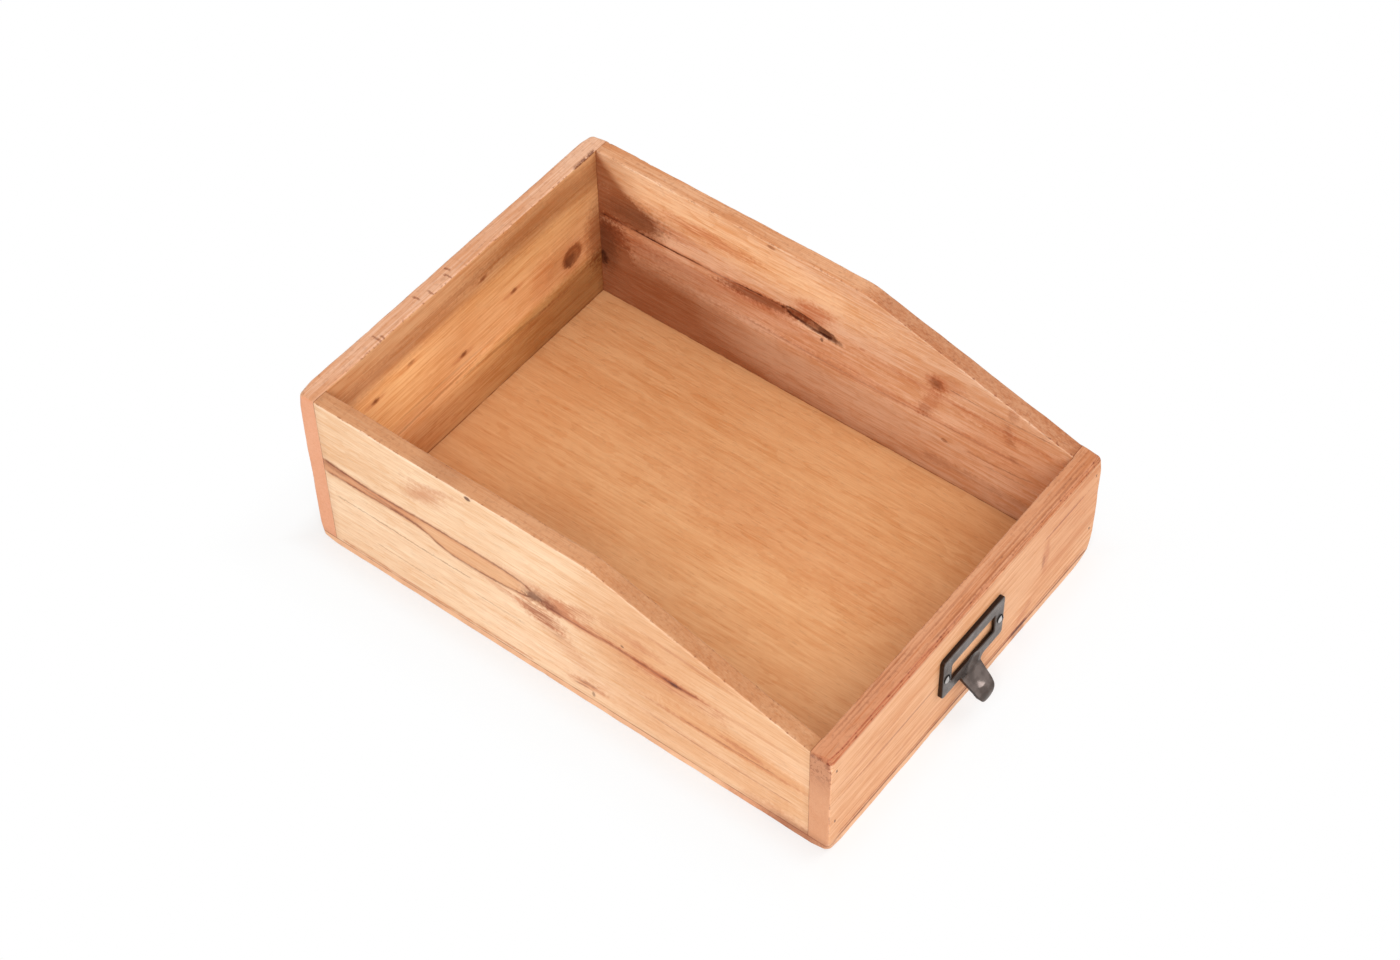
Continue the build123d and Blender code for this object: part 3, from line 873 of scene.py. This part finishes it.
def metal(name, deep, bright, grain_size, relief, roughness, tongue_top=None, slotted=False):
    """A metal with a mottled skin between two colours, and a fine grain in relief."""
    material = blank_material(name)
    skin = Recipe(material.node_tree)
    corner = skin.outs("ShaderNodeTexCoord")
    in_mm = skin.vector("MULTIPLY", corner["Object"], (1000, 1000, 1000))
    place, facing = skin.split(in_mm), skin.split(corner["Normal"])
    worn = skin.noise(in_mm, 0.16, 3.0).ease(0.35, 0.65) * 0.5 + 0.5
    if tongue_top:
        front = facing["Y"].ease(-0.35, -0.85) * 0.66
        slope = facing["Z"].ease(0.25, 0.6)
        # On the tongue, the lower slope takes the bright colour: rubbed metal, and a painted
        # highlight.
        on_tongue = slope * place["Z"].ease(tongue_top + 1, tongue_top - 7)
        worn = worn * skin.strongest(front, on_tongue)
    shade = skin.mix(worn, deep, bright)
    if tongue_top:
        rust = skin.noise(in_mm, 0.55, 3.0).ease(0.5, 0.68) * (1.0 - slope * 0.7) * 0.5
        shade = skin.mix(rust, shade, rust_brown)
    # The slot and the edge of the head are painted near black: painted shade, and grime.
    if slotted:
        across = place["X"] - skin.math("SIGN", place["X"]) * screw_x
        above = place["Z"] - screw_z
        off_slot = abs(above * math.cos(screw_tilt) - across * math.sin(screw_tilt))
        in_slot = off_slot.ease(slot_width * 0.9, slot_width * 0.55)
        in_slot = in_slot * place["Y"].ease(slot_floor, slot_floor + 0.4)
        rim = (across * across + above * above).root().ease(2.4, 2.9)
        shade = skin.mix(skin.strongest(in_slot, rim), shade, shade_and_grime_black)
    matt = (1.0 - worn) * 0.22 + roughness
    skin.surface(shade, matt, skin.noise(in_mm, 1 / grain_size), 0.5, relief, Metallic=1.0)
    print(name, "has", len(material.node_tree.nodes), "nodes")
    return material


cast_metal = metal(
    "antique_cast_iron", colour(54, 44, 39), colour(122, 110, 105), 0.5, 0.05, 0.17, tongue_top=33
)
screw_metal = metal(
    "bright_screw_steel", colour(120, 112, 108), colour(222, 218, 216), 0.3, 0.03, 0.2,
    slotted=True,
)
brad_metal = metal("dull_brad_wire", colour(72, 58, 48), colour(120, 108, 98), 0.4, 0.03, 0.42)

# %% [markdown]
# ## A finish for each plank
# A thin dark line shows where two planks meet, and dirt gathers beside it. The lines are drawn in
# the finish, at the planes where the planks touch.

# %% Where the planks meet


def side_joints(wood, outside):
    ends = [(wood.along, inner_front, 1.0), (wood.along, inner_back, 1.0)]
    return [*ends, (wood.height, base_top, 1.0)]


def end_joints(wood, outside):
    inside = (1.0 - outside) * abs(wood.facing_broad).ease(0.5, 0.9)
    sides = [(wood.along, -inner_side, inside), (wood.along, inner_side, inside)]
    return [*sides, (wood.height, base_top, 1.0)]


def base_joints(wood, outside):
    on_top, on_edge = wood.facing_up.ease(0.5, 0.8), 1.0 - abs(wood.facing_up)
    sides = [(wood.across, -inner_side, on_top), (wood.across, inner_side, on_top)]
    ends = [(wood.along, inner_front, on_top), (wood.along, inner_back, on_top)]
    return [*sides, *ends, (wood.height, base_top, on_edge)]


# %% Finishes of the planks
side_axes, end_axes, base_axes = ("Y", "Z", "X"), ("X", "Z", "Y"), ("Y", "X", "Z")
# Four tones for each plank: its outside, its inside, its top edge and its cut ends
finishes = {
    "left_side_board": plank_material(
        "left_board_wood", side_axes, -1,
        [(239, 203, 165), (228, 174, 130), (200, 143, 100), (232, 174, 138)],
        (-60, 58), 7.5, (310, 20, 45), left_marks, side_joints, figure_share=0.62,
    ),
    "right_side_board": plank_material(
        "right_board_wood", side_axes, 1,
        [(234, 188, 144), (231, 188, 153), (214, 156, 114), (228, 166, 130)],
        (70, 40), 8.5, (-240, 75, 10), right_marks, side_joints,
    ),
    "back_board": plank_material(
        "back_board_wood", end_axes, 1,
        [(234, 186, 142), (233, 180, 126), (222, 171, 137), (228, 164, 127)],
        (-75, 150), 9.0, (120, -40, 160), back_marks, end_joints,
    ),
    "front_board": plank_material(
        "front_board_wood", end_axes, -1,
        [(225, 169, 125), (228, 170, 126), (202, 141, 102), (211, 153, 114)],
        (90, 60), 10.0, (-90, 130, -70), front_marks, end_joints,
    ),
    "base_panel": plank_material(
        "base_panel_wood", base_axes, -1,
        [(214, 168, 124), (224, 170, 118), (224, 170, 118), (238, 190, 150)],
        (-120, 10), 9.0, (60, -150, 220), base_marks, base_joints, figure_share=0.6,
    ),
}

# %% [markdown]
# ## A bench for Geometry Nodes
# Planks, brads and screws each follow a rule, so a Geometry Nodes tree makes them. A tree could
# stay live on its object, but an exported model keeps only plain meshes. So the tree is built
# with named inputs, run once on an empty mesh, and its result is kept.

# %% Bench
socket_kinds = {tuple: "Vector", int: "Int", float: "Float", bpy.types.Material: "Material"}
sharp_angle = math.radians(50)
still = (0.0, 0.0, 0.0)


class Bench(Recipe):
    """Builds one Geometry Nodes tree: named sizes in mm go in and a mesh in metres comes out."""

    def __init__(self, name, sizes):
        super().__init__(bpy.data.node_groups.new(name, "GeometryNodeTree"))
        self.sizes = sizes
        sockets = self.tree.interface
        sockets.new_socket("Mesh", in_out="OUTPUT", socket_type="NodeSocketGeometry")
        for size, value in sizes.items():
            kind = "NodeSocket" + socket_kinds[type(value)]
            sockets.new_socket(size, in_out="INPUT", socket_type=kind)
        self.given = self.outs("NodeGroupInput")

    def scaled(self, direction, factor):
        return self.out("ShaderNodeVectorMath", {0: direction, "Scale": factor}, operation="SCALE")

    def place_at(self, mesh, place):
        return self.out("GeometryNodeSetPosition", {"Geometry": mesh, "Position": place})

    def gather(self, node, key, meshes):
        """Links meshes to one input of a node, which takes them in order."""
        for mesh in reversed(meshes):
            self.tree.links.new(mesh.socket, node.inputs[key])
        return Value(self, node.outputs[0])

    def carve(self, mesh, *cutters):
        solver = {"operation": "DIFFERENCE", "solver": "MANIFOLD"}
        cut = self.node("GeometryNodeMeshBoolean", {"Mesh 1": mesh}, **solver)
        return self.gather(cut, "Mesh 2", cutters)

    def shelf(self, share, rows, column):
        """A value from one column of a table: of the first row at a share of 0, the last at 1."""
        knots = [(step / (len(rows) - 1), row[column]) for step, row in enumerate(rows)]
        return self.curve(share, knots, margin=0.01, handles="VECTOR")

    def deliver(self, mesh):
        """Real faces, soft shading up to sharp edges, the finish, and metres instead of mm."""
        mesh = self.out("GeometryNodeRealizeInstances", {0: mesh})
        mesh = self.out("GeometryNodeSetShadeSmooth", {"Geometry": mesh}, domain="FACE")
        angle = self.out("GeometryNodeInputMeshEdgeAngle")
        sharp = self.out(
            "FunctionNodeCompare", {0: angle, 1: sharp_angle}, operation="GREATER_THAN"
        )
        crisp = {"Geometry": mesh, "Selection": sharp, "Shade Smooth": False}
        mesh = self.out("GeometryNodeSetShadeSmooth", crisp, domain="EDGE")
        mesh = self.out("GeometryNodeTransform", {"Geometry": mesh, "Scale": (millimetre,) * 3})
        finished = {"Geometry": mesh, "Material": self.given["Finish"]}
        self.node("NodeGroupOutput", {0: self.out("GeometryNodeSetMaterial", finished)})


def run(bench, name, node, slot, **sizes):
    """Runs a tree on an empty mesh, keeps its result, and lets that stand for a CAD node."""
    piece = bpy.data.objects.new(name, bpy.data.meshes.new(name))
    bpy.context.scene.collection.objects.link(piece)
    maker = piece.modifiers.new("maker", "NODES")
    maker.node_group = bench.tree
    sizes = {size.replace("_", " ").title(): value for size, value in sizes.items()}
    chosen = {**bench.sizes, **sizes}
    for socket in bench.tree.interface.items_tree:
        if socket.in_out == "INPUT":
            maker[socket.identifier] = chosen[socket.name]
    piece.update_tag()
    finished = piece.evaluated_get(bpy.context.evaluated_depsgraph_get())
    mesh = bpy.data.meshes.new_from_object(finished)
    piece.modifiers.remove(maker)
    mesh.materials.clear()
    mesh.materials.append(chosen["Finish"])
    mesh.polygons.foreach_set("material_index", [0] * len(mesh.polygons))
    piece.data = mesh
    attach(piece, "root")
    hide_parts(node)
    print(name, "has", len(mesh.vertices), "points and", len(mesh.polygons), "faces")


# %% [markdown]
# ## Brads
# The planks are nailed with brads, cut from flat wire: a small head, a straight wire and a chisel
# point. One brad is a box whose rows of points are moved to a profile. A seat is a place and a
# turn, and the same seats serve twice: for the brads and for the holes that they sit in.

# %% Profile of a brad and of its hole
# Each row: share of the length, then height, half width and half thickness in mm, from the tip up
brad_rows = [
    (1, -0.30, 0.08, 0.50), (1, 1.70, 0.65, 0.55), (0, -1.60, 0.65, 0.55), (0, -1.00, 0.68, 0.55),
    (0, -0.90, 1.04, 0.55), (0, -0.80, 1.10, 0.55), (0, -0.40, 1.10, 0.55), (0, -0.30, 0.96, 0.46),
]
hole_rows = [
    (1, -0.35, 0.7, 0.6), (0, -0.96, 0.7, 0.6), (0, -0.95, 1.15, 0.6), (0, 1.0, 1.15, 0.6),
]


def flat_stick(bench, rows, length):
    """A closed stick along Z whose rows of points follow a table."""
    blank = bench.out("GeometryNodeMeshCube", {"Size": (2, 2, 1), "Vertices Z": len(rows)})
    corner = bench.split(bench.out("GeometryNodeInputPosition"))
    share = corner["Z"] + 0.5
    down, up, wide, thick = [bench.shelf(share, rows, column) for column in range(4)]
    moved = bench.join(corner["X"] * wide, corner["Y"] * thick, up - down * length)
    return bench.place_at(blank, moved)


def seated(bench, stick, first, step, count, second_step, rows, turn, lift=still):
    """Copies of a stick on a grid of seats: count seats along one step, in rows along another."""
    points = bench.out("GeometryNodeMeshLine", {"Count": count * rows, "Offset": still})
    number = bench.out("GeometryNodeInputIndex")
    in_row = bench.math("MODULO", number, count)
    row = bench.math("FLOOR", (number + 0.5) / count)
    stepped = bench.vector("ADD", bench.scaled(step, in_row), bench.scaled(second_step, row))
    place = bench.vector("ADD", bench.vector("ADD", first, stepped), lift)
    set_down = {"Points": bench.place_at(points, place), "Instance": stick, "Rotation": turn}
    return bench.out("GeometryNodeInstanceOnPoints", set_down)


def turned(wide, out):
    """Turn that brings a stick's wide side and its top into two directions of the tray."""
    across = Vector(out).cross(Vector(wide))
    return tuple(Matrix((wide, across, out)).transposed().to_euler())


# %% Where the brads go
side_middle, front_middle, lowest = 124.5, -176.25, 26.0
front_to_back = 353.25
wall = {"length": 32.0, "step": (2 * side_middle, 0.0, 0.0), "count": 2}
base = {"length": 20.0, "rows": 2, "turn": turned((1, 0, 0), (0, 0, -1))}
front_seats = {
    **wall, "first": (-side_middle, -half_depth, lowest), "rows": 2,
    "second_step": (0.0, 0.0, 47.0), "turn": turned((0, 0, 1), (0, -1, 0)),
}
back_seats = {
    **wall, "first": (-side_middle, half_depth, lowest), "rows": 3,
    "second_step": (0.0, 0.0, 40.0), "turn": turned((0, 0, 1), (0, 1, 0)),
}
base_side_seats = {
    **base, "first": (-side_middle, -145.0, 0.0), "step": (0.0, 72.5, 0.0), "count": 5,
    "second_step": (2 * side_middle, 0.0, 0.0),
}
base_end_seats = {
    **base, "first": (-92.0, front_middle, 0.0), "step": (92.0, 0.0, 0.0), "count": 3,
    "second_step": (0.0, front_to_back, 0.0),
}
print("a wall brad is", wall["length"], "mm long")

# %% [markdown]
# ## Screws of the pull
# Two slotted round-head wood screws hold the pull. A screw could be turned with a Screw modifier.
# Here a grid is wrapped round an axis: one way round becomes the angle, the other runs from the
# top of the head to the point, and the thread is a ridge that climbs with the angle. A Boolean
# cuts the slot, and both screws lean the same way.

# %% Screw tree
head_y, bore_y = -185.8, -183.8
screw_sizes = {
    "Head Diameter": 6.2, "Head Height": 1.7, "Shank Diameter": 2.9, "Length": 12.0,
    "Point Length": 3.0, "Pitch": 1.1, "Thread Depth": 0.35, "Plain Shank": 3.2,
    "Slot Width": slot_width, "Slot Depth": 1.0, "Slot Tilt": screw_tilt,
    "First Seat": (-screw_x, head_y, screw_z), "Spacing": 2 * screw_x, "Finish": screw_metal,
}
screw_turn = turned((1, 0, 0), (0, -1, 0))


def screw_tree():
    bench = Bench("slotted_screw", screw_sizes)
    given = bench.given
    around, along = 40, 150
    dome_end, neck_end = 0.16, 0.2
    wrap = {"Size X": 1, "Size Y": 1, "Vertices X": around + 1, "Vertices Y": along + 1}
    blank = bench.out("GeometryNodeMeshGrid", wrap)
    corner = bench.split(bench.out("GeometryNodeInputPosition"))
    lap, way = corner["X"] + 0.5, corner["Y"] + 0.5
    angle = lap * (2 * math.pi)

    head_height, length = given["Head Height"], given["Length"]
    head_radius, shank_radius = given["Head Diameter"] / 2.0, given["Shank Diameter"] / 2.0
    squares = head_radius * head_radius + head_height * head_height
    dome_radius = squares / (head_height * 2.0)
    dome_angle = bench.math("ARCSINE", head_radius / dome_radius)
    lean = way.ramp(0.0, dome_end) * dome_angle
    dome = bench.math("SINE", lean) * dome_radius
    drop = (1.0 - bench.math("COSINE", lean)) * dome_radius
    neck = way.ramp(dome_end, neck_end) * (head_radius - shank_radius)

    down = way.ramp(neck_end, 1.0) * length
    height = head_height - drop - down
    turns = bench.math("FRACT", down / given["Pitch"] - lap)
    threaded = down.ease(given["Plain Shank"], given["Plain Shank"] + 1.0)
    valley = abs(turns - 0.5).ease(0.12, 0.4) * threaded * given["Thread Depth"]
    to_point = down.ramp(length - given["Point Length"], length, 1.0, 0.0)
    radius = (dome - neck - valley) * to_point
    beside, behind = bench.math("COSINE", angle), bench.math("SINE", angle)
    wrapped = bench.place_at(blank, bench.join(radius * beside, radius * behind, height))
    closed = bench.out("GeometryNodeMergeByDistance", {"Geometry": wrapped, "Distance": 0.002})
    closed = bench.out("GeometryNodeFlipFaces", {0: closed})

    long, deep = given["Head Diameter"] + 1.0, given["Slot Depth"] * 2.0
    size = bench.join(long, given["Slot Width"], deep)
    cutter = bench.out("GeometryNodeMeshCube", {"Size": size})
    cutter = bench.out("GeometryNodeTransform", {
        "Geometry": cutter, "Translation": bench.join(0.0, 0.0, head_height),
        "Rotation": bench.join(0.0, 0.0, given["Slot Tilt"]),
    })
    spacing = bench.join(given["Spacing"], 0.0, 0.0)
    pair = (given["First Seat"], spacing, 2, still, 1, screw_turn)
    bench.deliver(seated(bench, bench.carve(closed, cutter), *pair))
    return bench


run(screw_tree(), "slotted_screws", "pull_screws", "bright_steel")

# %% Brad tree
brad_sizes = {
    "Length": 32.0, "First": still, "Step": still, "Count": 2, "Second Step": still, "Rows": 2,
    "Turn": still, "Outward": (0.0, 0.0, -1.0), "Seed": 4, "Finish": brad_metal,
    "Further First": still, "Further Step": still, "Further Count": 0,
    "Further Second Step": still,
}
grid_names = ("First", "Step", "Count", "Second Step")


def brad_tree():
    bench = Bench("row_of_brads", brad_sizes)
    given = bench.given
    stick = flat_stick(bench, brad_rows, given["Length"])
    chance = {2: 0.0, 3: 0.08, "Seed": given["Seed"]}
    rise = bench.out("FunctionNodeRandomValue", chance, key=1, data_type="FLOAT")
    rise = bench.scaled(given["Outward"], rise)
    rows = []
    for prefix in ("", "Further "):
        grid = [given[prefix + name] for name in grid_names]
        rows.append(seated(bench, stick, *grid, given["Rows"], given["Turn"], rise))
    bench.deliver(bench.gather(bench.node("GeometryNodeJoinGeometry"), 0, rows))
    return bench


brads = brad_tree()
run(brads, "front_brads", "front_nails", "nail_steel", **front_seats, outward=(0.0, -1.0, 0.0))
run(brads, "back_brads", "back_nails", "nail_steel", **back_seats, outward=(0.0, 1.0, 0.0))
grid_keys = ("first", "step", "count", "second_step")
further = {"further_" + name: base_end_seats[name] for name in grid_keys}
run(brads, "base_brads", "base_nails", "nail_steel", **base_side_seats, **further)

# %% [markdown]
# ## Worn planks
# Every plank starts as a plain blank. What makes it this tray's plank is wear, and the wear
# belongs to the whole tray: it rounds the outer arrises, knocks the corners, chips the edges and
# leaves the surfaces a little uneven. So one rule moves a point by its place in the tray, and all
# five planks go through it. Neighbours then still meet where they are joined.

# %% Rules of wear
edge_zone, edge_cells = 4.0, 8
touching, brow_blend, front_blend = 0.01, 2.8, 0.35
knock_reach, front_right_reach = 13.0, 20.0
bore_size = {"Vertices": 24, "Radius": 1.5, "Depth": 20.0}
plank_sizes = {
    "Low": still, "High": (1.0, 1.0, 1.0), "Cells X": 10, "Cells Y": 10, "Cells Z": 10,
    "Half Width": half_width, "Half Depth": half_depth, "Back Height": back_height,
    "Front Height": front_height, "Break": -25.0, "Slope End": -167.5, "Inner Side": inner_side,
    "Inner Front": inner_front, "Inner Back": inner_back, "Arris": 1.2, "Lip": 3.0, "Chips": 1.5,
    "Corner Knocks": 2.6, "Front Right Knock": 3.7, "Unevenness": 0.3, "Gouge Depth": 0.0,
    "Finish": finishes["left_side_board"],
}
# The gouge's ellipse on the right side: its middle, its half length, half height and lean
gouge_y, gouge_z, gouge_long, gouge_high, gouge_lean = 12.0, 76.6, 20.0, 4.2, math.radians(8.0)


def rows_along(bench, share, length, cells):
    """Places along one side of a blank, with fine rows at both ends and even rows between."""
    zone = bench.math("MINIMUM", edge_zone, length * 0.4)
    near = edge_cells / cells
    far = 1.0 - near
    first, last = share.ramp(0.0, near, 0.0, zone), share.ramp(far, 1.0, 0.0, zone)
    return first + share.ramp(near, far, 0.0, length - zone * 2.0) + last


def eased_corner(bench, radius, *depths):
    """How far to draw back a point in a corner zone, so that the corner becomes round."""
    depths = [bench.math("MAXIMUM", depth, 0.0) for depth in depths]
    reach = total(*[depth * depth for depth in depths]).root()
    back = 1.0 - radius / bench.math("MAXIMUM", reach, radius)
    return [depth * back for depth in depths]


def plank_tree():
    bench = Bench("worn_plank", plank_sizes)
    given = bench.given

    # The blank, with its top cut to the tray's side view
    cells = [given["Cells " + axis] for axis in "XYZ"]
    counts = {"Vertices " + axis: count + 1 for axis, count in zip("XYZ", cells)}
    blank = bench.out("GeometryNodeMeshCube", {"Size": (1, 1, 1), **counts})
    corner = bench.split(bench.out("GeometryNodeInputPosition"))
    shares = [corner[axis] + 0.5 for axis in "XYZ"]
    low, high = bench.split(given["Low"]), bench.split(given["High"])
    x = low["X"] + rows_along(bench, shares[0], high["X"] - low["X"], cells[0])
    y = low["Y"] + rows_along(bench, shares[1], high["Y"] - low["Y"], cells[1])
    fall = (given["Back Height"] - given["Front Height"]) / (given["Break"] - given["Slope End"])
    slope = (y - given["Break"]) * fall + given["Back Height"]
    brow = bench.math("SMOOTH_MIN", slope, given["Back Height"], brow_blend)
    top = bench.math("SMOOTH_MAX", brow, given["Front Height"], front_blend)
    tall = bench.math("MINIMUM", high["Z"], top) - low["Z"]
    z = low["Z"] + rows_along(bench, shares[2], tall, cells[2])

    # Noise that decides how much is worn away
    here = bench.join(x, y, z)
    slow = bench.noise(here, 0.045)
    second_slow = bench.noise(bench.vector("ADD", here, (90, 40, 20)), 0.03)
    chipped = bench.noise(here, 0.3).ease(0.6, 0.74) * given["Chips"]
    arris = given["Arris"] * (slow * 1.6 + 0.15) + chipped

    # Distances to the tray's faces
    wide, deep = abs(x), abs(y)
    to_side, to_end, to_top = given["Half Width"] - wide, given["Half Depth"] - deep, top - z
    to_front = given["Half Depth"] + y
    to_level = bench.math("MINIMUM", z, to_top)
    corner_way = bench.vector("LENGTH", bench.join(to_side, to_end, to_level), key=1)
    front_right = bench.join(given["Half Width"] - x, to_front, z)
    front_right = bench.vector("LENGTH", front_right, key=1)
    radius = (
        arris + corner_way.ease(knock_reach, 1.0) * given["Corner Knocks"]
        + front_right.ease(front_right_reach, 3.0) * given["Front Right Knock"]
    )

    # The lip of the front board
    lip = given["Lip"]
    lip_back, lip_down = eased_corner(bench, lip, lip - to_front, lip - to_top)

    # Outer arrises and corners
    side_back, end_back, level_back = eased_corner(
        bench, radius, radius - to_side, radius - to_end, radius - to_level
    )
    up_down = level_back * (bench.math("LESS_THAN", z, to_top) * 2.0 - 1.0)

    # Arrises round the opening
    into_side = wide - given["Inner Side"]
    into_end = bench.math("MAXIMUM", given["Inner Front"] - y, y - given["Inner Back"])
    by_side, by_end = [bench.math("LESS_THAN", into, touching) for into in (into_end, into_side)]
    at_top = bench.math("LESS_THAN", to_top, arris)
    side_rim = by_side * bench.math("GREATER_THAN", into_side, -touching) * at_top
    end_rim = by_end * bench.math("GREATER_THAN", into_end, -touching) * at_top
    from_side, from_end = (arris - into_side) * side_rim, (arris - into_end) * end_rim
    open_x, open_y, open_z = eased_corner(bench, arris, from_side, from_end, arris - to_top)

    # Unevenness of the faces, always into the wood
    sag, second_sag = given["Unevenness"] * slow, given["Unevenness"] * second_slow
    on_inner_side = wide.ramp(inner_side + 4.0, inner_side + 0.2)
    outer_x = sag * wide.ramp(half_width - 9.0, half_width - 1.0)
    outer_y = sag * deep.ramp(half_depth - 9.0, half_depth - 1.0)
    inner_x = second_sag * on_inner_side * z.ramp(base_top, base_top + 4.0) * by_side
    upper = second_sag * 1.6 * to_top.ramp(9.0, 1.0)

    # The old gouge on the right side's inner face
    past_y, past_z = y - gouge_y, z - gouge_z
    sine, cosine = math.sin(gouge_lean), math.cos(gouge_lean)
    long_way = (past_y * cosine + past_z * sine) * (1 / gouge_long)
    short_way = (past_z * cosine - past_y * sine) * (1 / gouge_high)
    bowl = (long_way * long_way + short_way * short_way).root()
    bowl = (bowl + (bench.noise(here, 0.5) - 0.5) * 0.7).ease(1.05, 0.45)
    gouge = bowl * given["Gouge Depth"] * on_inner_side * x.ramp(0.0, 100.0)

    x_moved = wide - side_back - outer_x + open_x + inner_x + gouge
    y_moved = deep - end_back - outer_y - lip_back + open_y
    z_moved = z + up_down - lip_down - upper
    z_moved = z_moved - open_z * bench.math("MAXIMUM", side_rim, end_rim)
    x_moved, y_moved = x_moved * bench.math("SIGN", x), y_moved * bench.math("SIGN", y)
    worn = bench.place_at(blank, bench.join(x_moved, y_moved, z_moved))

    # Holes for the brads and screws
    cutters = []
    for seats in (front_seats, back_seats, base_side_seats, base_end_seats):
        places = {name: value for name, value in seats.items() if name != "length"}
        cutters.append(seated(bench, flat_stick(bench, hole_rows, seats["length"]), **places))
    bore = bench.out("GeometryNodeMeshCylinder", bore_size)
    pair = ((-screw_x, bore_y, screw_z), (2 * screw_x, 0, 0), 2, still, 1, screw_turn)
    cutters.append(seated(bench, bore, *pair))
    cutters = [bench.out("GeometryNodeRealizeInstances", {0: cutter}) for cutter in cutters]
    bench.deliver(bench.carve(worn, *cutters))
    return bench


planks = plank_tree()
print("worn_plank has", len(planks.tree.nodes), "nodes")

# %% Make the five planks
# Each row: the places of the blank's faces along X, Y and Z, and its cells along each
thin = 20
walls_up = (base_top, back_height)
left_wall, right_wall = (-half_width, -inner_side), (inner_side, half_width)
full_width, full_depth = (-half_width, half_width), (-half_depth, half_depth)
blanks = {
    "left_side_board": (left_wall, (inner_front, inner_back), walls_up, (thin, 140, 56)),
    "right_side_board": (right_wall, (inner_front, inner_back), walls_up, (thin, 200, 90)),
    "back_board": (full_width, (inner_back, half_depth), walls_up, (108, thin, 56)),
    "front_board": (full_width, (-half_depth, inner_front), walls_up, (108, thin, 46)),
    "base_panel": (full_width, full_depth, (0.0, base_top), (80, 110, thin)),
}
for node, (*faces, cells) in blanks.items():
    slot = node.split("_")[0] + "_wood"
    low, high = zip(*faces)
    counts = dict(zip(("cells_x", "cells_y", "cells_z"), cells))
    gouge = 1.3 if node == "right_side_board" else 0.0
    shape = {"low": low, "high": high, **counts, "gouge_depth": gouge}
    run(planks, "worn_" + node, node, slot, **shape, finish=finishes[node])

# %% [markdown]
# ## The pull
# The cast pull's CAD shape is right: plate, window, and a hooked tongue with a finger dish. A CAD
# part like that stays and only gets its finish, which goes into the slots of its object. Its mesh
# isn't touched.

# %% Finish of the pull
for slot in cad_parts["card_frame_pull"].material_slots:
    slot.material = cast_metal
print("card_frame_pull gets", cast_metal.name)
